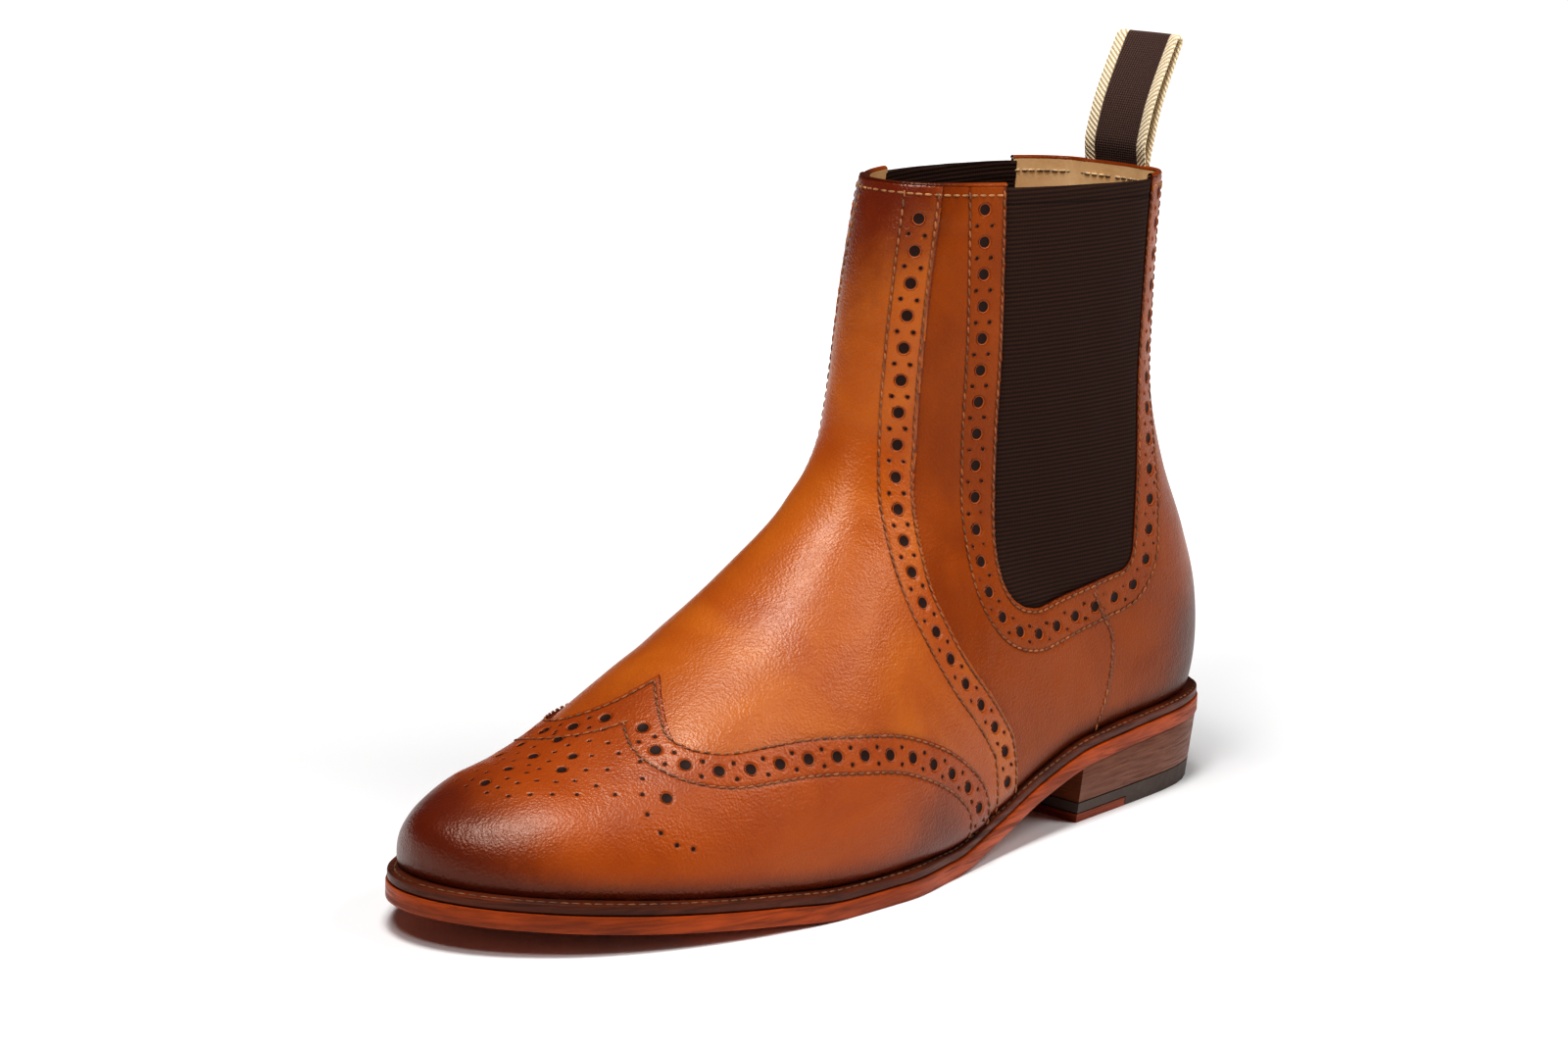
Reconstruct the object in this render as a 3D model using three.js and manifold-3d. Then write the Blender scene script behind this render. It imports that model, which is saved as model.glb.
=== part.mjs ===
// A left wing-cap Chelsea boot in tan leather: hollow upper, cap, elastic gores, pull loop,
// welt, outsole, insole and stacked heel.
// Millimetres. In the boot's own frame X runs forward from the heel's back edge, Y to the
// wearer's left and Z up from the floor. At the end the whole boot is turned and centred.
import * as THREE from 'three';
import { mergeVertices } from 'three/addons/utils/BufferGeometryUtils.js';
import Module from 'manifold-3d';

const wasm = await Module();
wasm.setup();

// Driving sizes
const SOLE_LENGTH = 303;
const BALL_WIDTH = 101;
const HEEL_WIDTH = 68;
const UPPER_HEIGHT = 161;
const COLLAR_DROP = 2.4;
const HEEL_HEIGHT = 21.2;
const TOE_SPRING = 8.5;
const HEEL_LENGTH = 79;
const HEEL_TAPER = 2.2;
const OUTSOLE_THICKNESS = 4.8;
const WELT_THICKNESS = 2.6;
const WELT_SETBACK = 0.4;
const WELT_LEDGE_HEEL = 2.4;
const WELT_LEDGE_BALL = 4.6;
const UPPER_WALL = 2.2;
const VAMP_STEP = 0.9;
const CAP_THICKNESS = 1;
const GORE_THICKNESS = 1.3;
const GORE_RECESS = 0.5;
const INSOLE_THICKNESS = 5;
const INSOLE_CLEARANCE = 0.6;
const RUBBER_LIFT = 3;
const TOP_PIECE = 2.9;
const TOP_PIECE_FRONT = 26;
const LOOP_WIDTH = 23.5;
const LOOP_HEIGHT = 39;
const LOOP_LEAN = 14.5;
const LOOP_TAIL = 12;
const LOOP_WEBBING = 1.3;
const LOOP_GAP = 2.4;
const LOOP_COVER = 1;
const LOOP_SHIFT = 1;
const GAP = 0.3;

// Gore cut-out: X of its front and back edges, how far the back edge leans at the collar,
// rise of its foot above the welt line at the heel, and its corners
const GORE_FRONT = 112.3;
const GORE_BACK = 54.5;
const GORE_LEAN = 3.5;
const GORE_RISE_FRONT = 38;
const GORE_RISE_BACK = 43.5;
const GORE_CORNER_FRONT = 17;
const GORE_CORNER_BACK = 8;

// Mesh fineness
const OUTER_FORM = { sides: 36, ringsPerSection: 1.6 };
const INNER_FORM = { sides: 26, ringsPerSection: 1.5 };
const ROUGH_FORM = { sides: 24, ringsPerSection: 1 };
const SOLE_STATIONS = 52;
const INSOLE_STATIONS = 36;
const HEEL_STATIONS = 12;
const CURVE_STEPS = 48;
const LOOP_BENDS = 4;

// Far enough to pass right through the boot
const REACH = 200;

// Cross-sections of the upper's outer face, toe first. Each lies in a plane across the boot
// through a front or top point and a back or bottom point. X values are shares of
// SOLE_LENGTH, up values are shares of UPPER_HEIGHT above the welt at that X, half-widths are
// shares of BALL_WIDTH or HEEL_WIDTH, shifts are shares of BALL_WIDTH. widest is where along
// the section it is widest, counted from the back point; round values are the exponents of
// the front and back halves of the section's curve.
const SECTION_COLUMNS = [
  'frontX', 'frontUp', 'backX', 'backUp', 'left', 'right',
  'widest', 'roundFront', 'roundBack', 'ridgeShift', 'middleShift',
];
const FOREFOOT_SECTIONS = [
  [0.981, 0.043, 0.981, 0.035, 0.006, 0.006, 0.50, 2.00, 2.0, -0.080, -0.080],
  [0.979, 0.066, 0.979, 0.005, 0.057, 0.045, 0.50, 2.00, 2.2, -0.082, -0.080],
  [0.973, 0.086, 0.973, -0.022, 0.112, 0.096, 0.47, 2.05, 2.5, -0.084, -0.081],
  [0.963, 0.100, 0.963, -0.039, 0.167, 0.145, 0.44, 2.10, 2.8, -0.086, -0.082],
  [0.949, 0.113, 0.949, -0.050, 0.220, 0.187, 0.41, 2.15, 3.0, -0.085, -0.081],
  [0.928, 0.131, 0.928, -0.059, 0.277, 0.237, 0.38, 2.20, 3.2, -0.080, -0.073],
  [0.895, 0.158, 0.895, -0.063, 0.332, 0.285, 0.36, 2.20, 3.4, -0.072, -0.061],
  [0.851, 0.184, 0.851, -0.066, 0.382, 0.325, 0.33, 2.20, 3.4, -0.057, -0.042],
  [0.799, 0.231, 0.799, -0.064, 0.426, 0.362, 0.28, 2.10, 3.4, -0.050, -0.025],
  [0.739, 0.305, 0.739, -0.062, 0.455, 0.396, 0.24, 2.00, 3.4, -0.045, -0.010],
  [0.677, 0.384, 0.670, -0.056, 0.472, 0.407, 0.21, 1.95, 3.4, -0.040, 0.000],
  [0.627, 0.447, 0.587, -0.054, 0.485, 0.411, 0.20, 1.95, 3.3, -0.030, 0.005],
  [0.587, 0.506, 0.488, -0.048, 0.460, 0.386, 0.21, 2.00, 3.2, -0.020, 0.006],
  [0.550, 0.563, 0.370, -0.077, 0.405, 0.360, 0.24, 2.05, 3.1, -0.010, 0.004],
];
const LEG_SECTIONS = [
  [0.528, 0.614, 0.248, -0.101, 0.528, 0.499, 0.28, 2.10, 3.0, -0.005, 0.002],
  [0.515, 0.663, 0.125, -0.105, 0.479, 0.474, 0.32, 2.10, 2.9, 0.000, 0.000],
  [0.508, 0.704, 0.043, -0.098, 0.456, 0.456, 0.34, 2.10, 2.8, 0.000, 0.000],
  [0.504, 0.741, 0.008, 0.013, 0.456, 0.456, 0.34, 2.10, 2.7, 0.000, 0.000],
  [0.500, 0.778, 0.008, 0.156, 0.456, 0.456, 0.34, 2.10, 2.6, 0.000, 0.000],
  [0.496, 0.822, 0.035, 0.293, 0.451, 0.451, 0.34, 2.10, 2.6, 0.000, 0.000],
  [0.491, 0.874, 0.074, 0.438, 0.446, 0.446, 0.35, 2.10, 2.6, 0.000, 0.000],
  [0.485, 0.936, 0.099, 0.582, 0.443, 0.443, 0.36, 2.10, 2.6, 0.000, 0.000],
  [0.478, 1.000, 0.104, 0.732, 0.443, 0.443, 0.36, 2.10, 2.6, 0.000, 0.000],
  [0.468, 1.065, 0.104, 0.875, 0.444, 0.444, 0.36, 2.15, 2.6, 0.000, 0.000],
  [0.456, 1.126, 0.101, 1.002, 0.447, 0.447, 0.36, 2.20, 2.6, 0.000, 0.000],
  [0.447, 1.187, 0.100, 1.110, 0.449, 0.449, 0.36, 2.20, 2.6, 0.000, 0.000],
];

// Outline of the outsole: share of SOLE_LENGTH, then how far each edge lies from the middle
// line, as shares of HEEL_WIDTH in the heel rows and of BALL_WIDTH in the rest.
const OUTLINE_COLUMNS = ['along', 'left', 'right'];
const HEEL_OUTLINE = [
  [0.000, 0.000, 0.000],
  [0.026, 0.306, 0.306],
  [0.083, 0.421, 0.421],
  [0.165, 0.476, 0.474],
  [0.248, 0.518, 0.493],
];
const BALL_OUTLINE = [
  [0.330, 0.378, 0.337],
  [0.413, 0.420, 0.351],
  [0.495, 0.475, 0.386],
  [0.578, 0.525, 0.434],
  [0.660, 0.527, 0.463],
  [0.743, 0.497, 0.475],
  [0.825, 0.436, 0.450],
  [0.898, 0.341, 0.394],
  [0.957, 0.203, 0.296],
  [0.987, 0.080, 0.202],
  [1.000, -0.070, 0.070],
];

// Underside of the outsole along the boot: height as a share of HEEL_HEIGHT plus a share of
// TOE_SPRING. Between the two zero rows the forefoot stands flat on the floor.
const RISE_COLUMNS = ['along', 'heel', 'spring'];
const RISE_ROWS = [
  [0.000, 1.000, 0],
  [0.244, 0.835, 0],
  [0.330, 0.580, 0],
  [0.413, 0.226, 0],
  [0.495, 0, 0],
  [0.644, 0, 0],
  [0.743, 0, 0.270],
  [0.825, 0, 0.494],
  [0.908, 0, 0.741],
  [1.000, 0, 1.000],
];

// Rear edge of the vamp on both sides and upper edge of each wing of the cap, seen from the
// side: share of SOLE_LENGTH, and share of UPPER_HEIGHT above the welt at that place.
const VAMP_EDGE = [
  [0.421, 1.200], [0.445, 0.929], [0.454, 0.725], [0.457, 0.648],
  [0.466, 0.562], [0.470, 0.450], [0.459, 0.366], [0.440, 0.290],
  [0.417, 0.227], [0.392, 0.151], [0.381, 0.099], [0.376, -0.030],
];
const CAP_WING_LEFT = [
  [0.769, 0.234], [0.762, 0.224], [0.739, 0.222], [0.703, 0.234], [0.664, 0.245],
  [0.625, 0.244], [0.566, 0.231], [0.515, 0.198], [0.476, 0.155], [0.447, 0.097],
  [0.435, 0.048], [0.430, -0.030],
];
const CAP_WING_RIGHT = [
  [0.796, 0.226], [0.788, 0.217], [0.758, 0.218], [0.715, 0.230], [0.670, 0.240],
  [0.630, 0.239], [0.570, 0.226], [0.520, 0.194], [0.480, 0.150], [0.452, 0.095],
  [0.440, 0.045], [0.436, -0.030],
];
// Where each wing's edge takes over from the peak's, as a share of BALL_WIDTH from the middle
// line, and how far the two blocks overlap along the boot
const WING_START = 0.12;
const CAP_LAP = 10;
// The two sides of the cap's middle peak, seen from above: share of SOLE_LENGTH, share of
// BALL_WIDTH
const PEAK_LEFT = [
  [0.800, 0.270], [0.776, 0.215], [0.768, 0.165], [0.757, 0.110], [0.745, 0.060], [0.731, 0.012],
];
const PEAK_RIGHT = [
  [0.731, 0.012], [0.745, -0.005], [0.764, -0.035], [0.783, -0.085], [0.796, -0.150],
  [0.806, -0.230],
];

// Colour and finish of each material
const FINISH = {
  tan: { color: 0xb4571c, roughness: 0.38, metalness: 0 },
  cap: { color: 0xa64e18, roughness: 0.36, metalness: 0 },
  elastic: { color: 0x33231c, roughness: 0.9, metalness: 0 },
  webbing: { color: 0x3d2a22, roughness: 0.85, metalness: 0 },
  welt: { color: 0x4d2f22, roughness: 0.55, metalness: 0 },
  outsole: { color: 0x9c4a2b, roughness: 0.45, metalness: 0 },
  insole: { color: 0xc99a6b, roughness: 0.7, metalness: 0 },
  stack: { color: 0x7b5743, roughness: 0.5, metalness: 0 },
  rubber: { color: 0x453c38, roughness: 0.75, metalness: 0 },
};

function namedRows(columns, rows) {
  return rows.map((row) => Object.fromEntries(columns.map((name, i) => [name, row[i]])));
}

// Smooth curve through (x, y) knots that never overshoots them
function smoothCurve(knots) {
  const x = knots.map((knot) => knot[0]);
  const y = knots.map((knot) => knot[1]);
  const last = x.length - 1;
  const pitch = x.slice(1).map((value, i) => (y[i + 1] - y[i]) / (value - x[i]));
  const slope = x.map((value, i) => {
    if (i === 0) return pitch[0];
    if (i === last) return pitch[last - 1];
    const product = pitch[i - 1] * pitch[i];
    return product > 0 ? 2 * product / (pitch[i - 1] + pitch[i]) : 0;
  });
  return (at) => {
    const value = Math.min(Math.max(at, x[0]), x[last]);
    let i = 0;
    while (i < last - 1 && value > x[i + 1]) i += 1;
    const width = x[i + 1] - x[i];
    const s = (value - x[i]) / width;
    const rise = 3 * s * s - 2 * s * s * s;
    return y[i] * (1 - rise) + y[i + 1] * rise
      + width * (slope[i] * s * (1 - s) ** 2 - slope[i + 1] * s * s * (1 - s));
  };
}

// Heights along the boot
const riseRows = namedRows(RISE_COLUMNS, RISE_ROWS);
const outsoleUnder = smoothCurve(riseRows.map((row) => [
  row.along * SOLE_LENGTH,
  row.heel * HEEL_HEIGHT + row.spring * TOE_SPRING,
]));
const outsoleTop = (x) => outsoleUnder(x) + OUTSOLE_THICKNESS;
const weltUnder = (x) => outsoleTop(x) + GAP;
const weltTop = (x) => weltUnder(x) + WELT_THICKNESS;
const upperUnder = (x) => weltTop(x) + GAP;
const FLOOR_OF_LEG = weltTop(0);
const COLLAR_FRONT_HEIGHT = FLOOR_OF_LEG + UPPER_HEIGHT + GAP;

// Sections of the upper
function sectionSizes(row, halfWidth) {
  const frontX = row.frontX * SOLE_LENGTH;
  const backX = row.backX * SOLE_LENGTH;
  return {
    frontX,
    frontZ: weltTop(frontX) + row.frontUp * UPPER_HEIGHT,
    backX,
    backZ: weltTop(backX) + row.backUp * UPPER_HEIGHT,
    left: row.left * halfWidth,
    right: row.right * halfWidth,
    widest: row.widest,
    roundFront: row.roundFront,
    roundBack: row.roundBack,
    ridgeShift: row.ridgeShift * BALL_WIDTH,
    middleShift: row.middleShift * BALL_WIDTH,
  };
}

const SECTIONS = [
  ...namedRows(SECTION_COLUMNS, FOREFOOT_SECTIONS).map((row) => sectionSizes(row, BALL_WIDTH)),
  ...namedRows(SECTION_COLUMNS, LEG_SECTIONS).map((row) => sectionSizes(row, HEEL_WIDTH)),
];

function catmullRom(a, b, c, d, s) {
  return 0.5 * (2 * b + (c - a) * s + (2 * a - 5 * b + 4 * c - d) * s * s
    + (3 * b - a - 3 * c + d) * s * s * s);
}

function sectionAt(place) {
  const i = Math.min(Math.floor(place), LAST_SECTION - 1);
  const s = place - i;
  const b = SECTIONS[i];
  const c = SECTIONS[i + 1];
  const a = SECTIONS[i - 1];
  const d = SECTIONS[i + 2];
  return Object.fromEntries(SECTION_NAMES.map((name) => {
    const before = a ? a[name] : 2 * b[name] - c[name];
    const after = d ? d[name] : 2 * c[name] - b[name];
    return [name, catmullRom(before, b[name], c[name], after, s)];
  }));
}
const SECTION_NAMES = Object.keys(SECTIONS[0]);
const LAST_SECTION = SECTIONS.length - 1;

// Point of one section at an angle from its front point, positive towards the left
function sectionPoint(section, angle) {
  const cosine = Math.cos(angle);
  const sine = Math.sin(angle);
  const power = 2 / (cosine > 0 ? section.roundFront : section.roundBack);
  const reach = Math.abs(cosine) ** power;
  const half = (sine > 0 ? section.left : section.right) * Math.abs(sine) ** power;
  const onFront = cosine > 0;
  const share = onFront
    ? section.widest + (1 - section.widest) * reach
    : section.widest * (1 - reach);
  const shift = section.middleShift
    + (onFront ? (section.ridgeShift - section.middleShift) * reach : 0);
  return new THREE.Vector3(
    section.backX + (section.frontX - section.backX) * share,
    Math.sign(sine) * half + shift,
    section.backZ + (section.frontZ - section.backZ) * share,
  );
}

function surfacePoint(place, angle) {
  return sectionPoint(sectionAt(place), angle);
}

// Outward direction of the upper's face, from two short steps along it
function surfaceNormal(place, angle) {
  const step = 0.02;
  const before = surfacePoint(Math.max(place - step, 0), angle);
  const after = surfacePoint(Math.min(place + step, LAST_SECTION), angle);
  const along = after.sub(before);
  const section = sectionAt(place);
  const around = sectionPoint(section, angle + step).sub(sectionPoint(section, angle - step));
  return around.cross(along).normalize();
}

// Solids from points and triangles, and back
function solidOf(points, triangles) {
  const geometry = new THREE.BufferGeometry();
  geometry.setAttribute('position', new THREE.Float32BufferAttribute(points.flat(), 3));
  geometry.setIndex(triangles.flat());
  return solidOfGeometry(geometry);
}

function solidOfGeometry(source) {
  const bare = source.clone();
  bare.deleteAttribute('normal');
  bare.deleteAttribute('uv');
  const merged = mergeVertices(bare, 1e-5);
  const index = Array.from(merged.index.array);
  const kept = [];
  for (let i = 0; i < index.length; i += 3) {
    const [a, b, c] = index.slice(i, i + 3);
    if (a !== b && b !== c && c !== a) kept.push(a, b, c);
  }
  return new wasm.Manifold(new wasm.Mesh({
    numProp: 3,
    vertProperties: new Float32Array(merged.attributes.position.array),
    triVerts: new Uint32Array(kept),
  }));
}

function meshOf(name, solid, finish) {
  const { vertProperties, triVerts } = solid.getMesh();
  const geometry = new THREE.BufferGeometry();
  geometry.setAttribute('position', new THREE.BufferAttribute(vertProperties, 3));
  geometry.setIndex(new THREE.BufferAttribute(triVerts, 1));
  geometry.computeVertexNormals();
  const mesh = new THREE.Mesh(geometry, new THREE.MeshStandardMaterial(finish));
  mesh.name = name;
  return mesh;
}

// The upper's form, grown or shrunk by an offset, as one closed solid
function upperForm(offset, { sides, ringsPerSection }, fromSection = 0, toSection = LAST_SECTION) {
  const count = Math.round((toSection - fromSection) * ringsPerSection);
  const rings = Array.from({ length: count + 1 }, (_, i) => {
    const place = fromSection + (toSection - fromSection) * i / count;
    return Array.from({ length: sides }, (_, j) => {
      const angle = 2 * Math.PI * j / sides;
      return surfacePoint(place, angle).addScaledVector(surfaceNormal(place, angle), offset);
    });
  });
  const points = rings.flat().map((point) => point.toArray());
  const triangles = [];
  for (let i = 0; i < count; i += 1) {
    for (let j = 0; j < sides; j += 1) {
      const a = i * sides + j;
      const b = i * sides + (j + 1) % sides;
      triangles.push([a, b, b + sides], [a, b + sides, a + sides]);
    }
  }
  for (const [ring, flipped] of [[0, false], [count, true]]) {
    const middle = points.length;
    const centre = rings[ring].reduce((sum, p) => sum.add(p), new THREE.Vector3());
    points.push(centre.divideScalar(sides).toArray());
    for (let j = 0; j < sides; j += 1) {
      const a = ring * sides + j;
      const b = ring * sides + (j + 1) % sides;
      triangles.push(flipped ? [middle, a, b] : [middle, b, a]);
    }
  }
  return solidOf(points, triangles);
}

// A block with a given side view, reaching across the boot from one Y to another
function sideBlockGeometry(shape, fromY, toY, steps = 1) {
  const depth = toY - fromY;
  const geometry = new THREE.ExtrudeGeometry(shape, { depth, steps, bevelEnabled: false });
  geometry.rotateX(Math.PI / 2);
  geometry.translate(0, toY, 0);
  return geometry;
}

function sideBlock(outline, fromY, toY) {
  const shape = new THREE.Shape(outline.map(([x, z]) => new THREE.Vector2(x, z)));
  return solidOfGeometry(sideBlockGeometry(shape, fromY, toY));
}

function splineThrough(points, steps) {
  const curve = new THREE.SplineCurve(points.map(([x, z]) => new THREE.Vector2(x, z)));
  return curve.getPoints(steps).map((p) => [p.x, p.y]);
}

function sideCurve(shares) {
  return splineThrough(shares.map(([along, up]) => [
    along * SOLE_LENGTH,
    weltTop(along * SOLE_LENGTH) + up * UPPER_HEIGHT,
  ]), CURVE_STEPS);
}

// Everything ahead of a rear edge curve
function aheadOf(edge, fromY, toY) {
  const front = SOLE_LENGTH + REACH;
  const [top] = edge;
  const bottom = edge[edge.length - 1];
  return sideBlock([
    ...edge,
    [bottom[0], -REACH],
    [front, -REACH],
    [front, 2 * REACH],
    [top[0], 2 * REACH],
  ], fromY, toY);
}

// Everything under the upper's lower edge, and everything over the collar
function underUpper(lift) {
  const from = -REACH / 4;
  const to = SOLE_LENGTH + REACH / 4;
  const steps = 2 * SOLE_STATIONS;
  const line = Array.from({ length: steps + 1 }, (_, i) => {
    const x = from + (to - from) * i / steps;
    return [x, upperUnder(x) + lift];
  });
  return sideBlock([...line, [to, -REACH], [from, -REACH]], -REACH, REACH);
}

function overCollar() {
  const front = COLLAR_FRONT_HEIGHT;
  const slope = COLLAR_DROP / (SOLE_LENGTH / 2);
  const height = (x) => front - slope * (SOLE_LENGTH / 2 - x);
  return sideBlock([
    [-REACH, height(-REACH)],
    [2 * REACH, height(2 * REACH)],
    [2 * REACH, 3 * REACH],
    [-REACH, 3 * REACH],
  ], -REACH, REACH);
}

// Side view of a gore: leaning sides, a sloping foot and two round corners
function goreOutline(inset) {
  const bottomFront = FLOOR_OF_LEG + GORE_RISE_FRONT + inset;
  const bottomBack = FLOOR_OF_LEG + GORE_RISE_BACK + inset;
  const top = 2 * REACH;
  const front = GORE_FRONT - inset;
  const back = GORE_BACK + inset;
  const topBack = back - GORE_LEAN;
  const shape = new THREE.Path();
  shape.moveTo(front, top);
  shape.lineTo(front, bottomFront + GORE_CORNER_FRONT);
  shape.quadraticCurveTo(front, bottomFront, front - GORE_CORNER_FRONT, bottomFront);
  shape.lineTo(back + GORE_CORNER_BACK, bottomBack);
  shape.quadraticCurveTo(back, bottomBack, back, bottomBack + GORE_CORNER_BACK);
  shape.lineTo(topBack, COLLAR_FRONT_HEIGHT);
  shape.lineTo(topBack, top);
  return shape.getPoints(8).map((p) => [p.x, p.y]);
}

// Outline of the sole
const halfTurnAt = (along) => Math.acos(1 - 2 * along);
const outlineRows = [
  ...namedRows(OUTLINE_COLUMNS, HEEL_OUTLINE).map((row) => ({ ...row, width: HEEL_WIDTH })),
  ...namedRows(OUTLINE_COLUMNS, BALL_OUTLINE).map((row) => ({ ...row, width: BALL_WIDTH })),
];
const leftEdge = smoothCurve(outlineRows.map((row) => [halfTurnAt(row.along), row.left * row.width]));
const rightEdge = smoothCurve(outlineRows.map((row) => [halfTurnAt(row.along), row.right * row.width]));

function outlinePoint(turn, side) {
  const x = SOLE_LENGTH * (1 - Math.cos(turn)) / 2;
  return [x, side > 0 ? leftEdge(turn) : -rightEdge(turn)];
}

// Point on the sole's outline moved inwards; side is 1 for left and -1 for right
function insetPoint(turn, side, inset) {
  const step = 0.01;
  const [x, y] = outlinePoint(turn, side);
  const [x0, y0] = outlinePoint(Math.max(turn - step, 0), side);
  const [x1, y1] = outlinePoint(Math.min(turn + step, Math.PI), side);
  const atEnd = turn < step || turn > Math.PI - step;
  const length = Math.hypot(x1 - x0, y1 - y0);
  const inwards = atEnd
    ? [turn < step ? 1 : -1, 0]
    : [side * (y1 - y0) / length, -side * (x1 - x0) / length];
  return [x + inwards[0] * inset, y + inwards[1] * inset];
}

function weltLedge(x) {
  const blend = THREE.MathUtils.smoothstep(x, HEEL_LENGTH, SOLE_LENGTH * 0.6);
  return WELT_LEDGE_HEEL + (WELT_LEDGE_BALL - WELT_LEDGE_HEEL) * blend;
}

// A flat piece that follows the sole's outline from one turn to another
function solePlate({ from = 0, to = Math.PI, stations, insetTop, insetBottom, top, bottom }) {
  const points = [];
  const triangles = [];
  for (let i = 0; i <= stations; i += 1) {
    const turn = from + (to - from) * i / stations;
    const [x] = outlinePoint(turn, 1);
    for (const [inset, height] of [[insetTop(x), top], [insetBottom(x), bottom]]) {
      for (const side of [1, -1]) {
        const [px, py] = insetPoint(turn, side, inset);
        points.push([px, py, height(px)]);
      }
    }
  }
  for (let i = 0; i < stations; i += 1) {
    const [topLeft, topRight, lowLeft, lowRight] = [0, 1, 2, 3].map((k) => 4 * i + k);
    for (const [a, b] of [[topLeft, topRight], [topRight, lowRight], [lowRight, lowLeft], [lowLeft, topLeft]]) {
      triangles.push([a, b, b + 4], [a, b + 4, a + 4]);
    }
  }
  const end = 4 * stations;
  triangles.push([0, 2, 3], [0, 3, 1], [end, end + 3, end + 2], [end, end + 1, end + 3]);
  return solidOf(points, triangles);
}

// A closed strip round the sole between two insets
function soleRing(outerInset, innerInset, top, bottom) {
  const turns = Array.from({ length: 2 * SOLE_STATIONS }, (_, i) => {
    const turn = Math.PI * (i <= SOLE_STATIONS ? i : 2 * SOLE_STATIONS - i) / SOLE_STATIONS;
    return [turn, i <= SOLE_STATIONS ? 1 : -1];
  });
  const points = turns.flatMap(([turn, side]) => {
    const [x] = outlinePoint(turn, side);
    return [[outerInset(x), top], [outerInset(x), bottom], [innerInset(x), bottom], [innerInset(x), top]]
      .map(([inset, height]) => {
        const [px, py] = insetPoint(turn, side, inset);
        return [px, py, height(px)];
      });
  });
  const triangles = [];
  turns.forEach((_, i) => {
    const next = (i + 1) % turns.length;
    for (let k = 0; k < 4; k += 1) {
      const a = 4 * i + k;
      const b = 4 * i + (k + 1) % 4;
      const c = 4 * next + (k + 1) % 4;
      const d = 4 * next + k;
      triangles.push([a, c, b], [a, d, c]);
    }
  });
  return solidOf(points, triangles);
}

// The pieces
const TOE_START = 1;
const CAP_SECTIONS = 15;
const GORE_SECTIONS = 12;
const aboveWelt = underUpper(0);
const collarCut = overCollar();

function trimmed(solid) {
  return solid.subtract(aboveWelt).subtract(collarCut);
}

function upper() {
  const quarters = upperForm(-VAMP_STEP, OUTER_FORM, TOE_START);
  const vamp = upperForm(0, OUTER_FORM).intersect(aheadOf(sideCurve(VAMP_EDGE), -REACH, REACH));
  const inside = upperForm(-VAMP_STEP - UPPER_WALL, INNER_FORM, TOE_START);
  const gores = sideBlock(goreOutline(0), -REACH, REACH);
  return trimmed(quarters.add(vamp).subtract(inside).subtract(gores)).subtract(loopPocket());
}

// The part of the shoe under one wing's upper edge, out to one side of the peak
function wingBlock(wing, fromY, toY) {
  const edge = sideCurve(wing);
  const [first] = edge;
  const foot = edge[edge.length - 1];
  const front = SOLE_LENGTH * PEAK_LEFT[0][0] + CAP_LAP;
  return sideBlock([...edge, [foot[0], -REACH], [front, -REACH], [front, first[1]]], fromY, toY);
}

// Everything ahead of the peaked line, as seen from above
function peakBlock() {
  const front = SOLE_LENGTH + REACH;
  const line = [...peakSide(PEAK_LEFT), ...peakSide(PEAK_RIGHT).slice(1)];
  const [first] = line;
  const last = line[line.length - 1];
  const outline = [[front, REACH], [first[0], REACH], ...line, [last[0], -REACH], [front, -REACH]];
  const shape = new THREE.Shape(outline.map(([x, y]) => new THREE.Vector2(x, y)));
  return solidOfGeometry(new THREE.ExtrudeGeometry(shape, { depth: REACH, bevelEnabled: false }));
}

function peakSide(shares) {
  const points = shares.map(([along, across]) => [along * SOLE_LENGTH, across * BALL_WIDTH]);
  return splineThrough(points, CURVE_STEPS / 4);
}

function wingCap() {
  const shell = upperForm(GAP + CAP_THICKNESS, OUTER_FORM, 0, CAP_SECTIONS)
    .subtract(upperForm(GAP, OUTER_FORM, 0, CAP_SECTIONS));
  const outer = BALL_WIDTH * WING_START;
  const region = peakBlock()
    .add(wingBlock(CAP_WING_LEFT, outer, REACH))
    .add(wingBlock(CAP_WING_RIGHT, -REACH, -outer));
  return trimmed(shell.intersect(region));
}

function elasticGore(side) {
  const face = -VAMP_STEP - GORE_RECESS;
  const shell = upperForm(face, INNER_FORM, GORE_SECTIONS)
    .subtract(upperForm(face - GORE_THICKNESS, INNER_FORM, GORE_SECTIONS));
  const block = side > 0
    ? sideBlock(goreOutline(GAP), 0, REACH)
    : sideBlock(goreOutline(GAP), -REACH, 0);
  return trimmed(shell.intersect(block));
}

function welt() {
  return soleRing(() => WELT_SETBACK, (x) => weltLedge(x) + VAMP_STEP + UPPER_WALL, weltTop, weltUnder);
}

function outsole() {
  const none = () => 0;
  return solePlate({
    stations: SOLE_STATIONS,
    insetTop: none,
    insetBottom: none,
    top: outsoleTop,
    bottom: outsoleUnder,
  });
}

function insole() {
  const inset = (x) => weltLedge(x) + VAMP_STEP + UPPER_WALL + INSOLE_CLEARANCE;
  const plate = solePlate({
    stations: INSOLE_STATIONS,
    insetTop: inset,
    insetBottom: inset,
    top: (x) => weltUnder(x) + INSOLE_THICKNESS,
    bottom: weltUnder,
  });
  return plate.intersect(upperForm(-VAMP_STEP - UPPER_WALL - INSOLE_CLEARANCE, ROUGH_FORM, TOE_START));
}

// A slice of the heel between two heights; its sides lean in towards the floor
const HEEL_TURN = halfTurnAt(HEEL_LENGTH / SOLE_LENGTH);

function heelSlice(top, bottom) {
  const inset = (height) => (x) => WELT_SETBACK + HEEL_TAPER * (1 - height(x) / HEEL_HEIGHT);
  return solePlate({
    to: HEEL_TURN,
    stations: HEEL_STATIONS,
    insetTop: inset(top),
    insetBottom: inset(bottom),
    top,
    bottom,
  });
}

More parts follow.
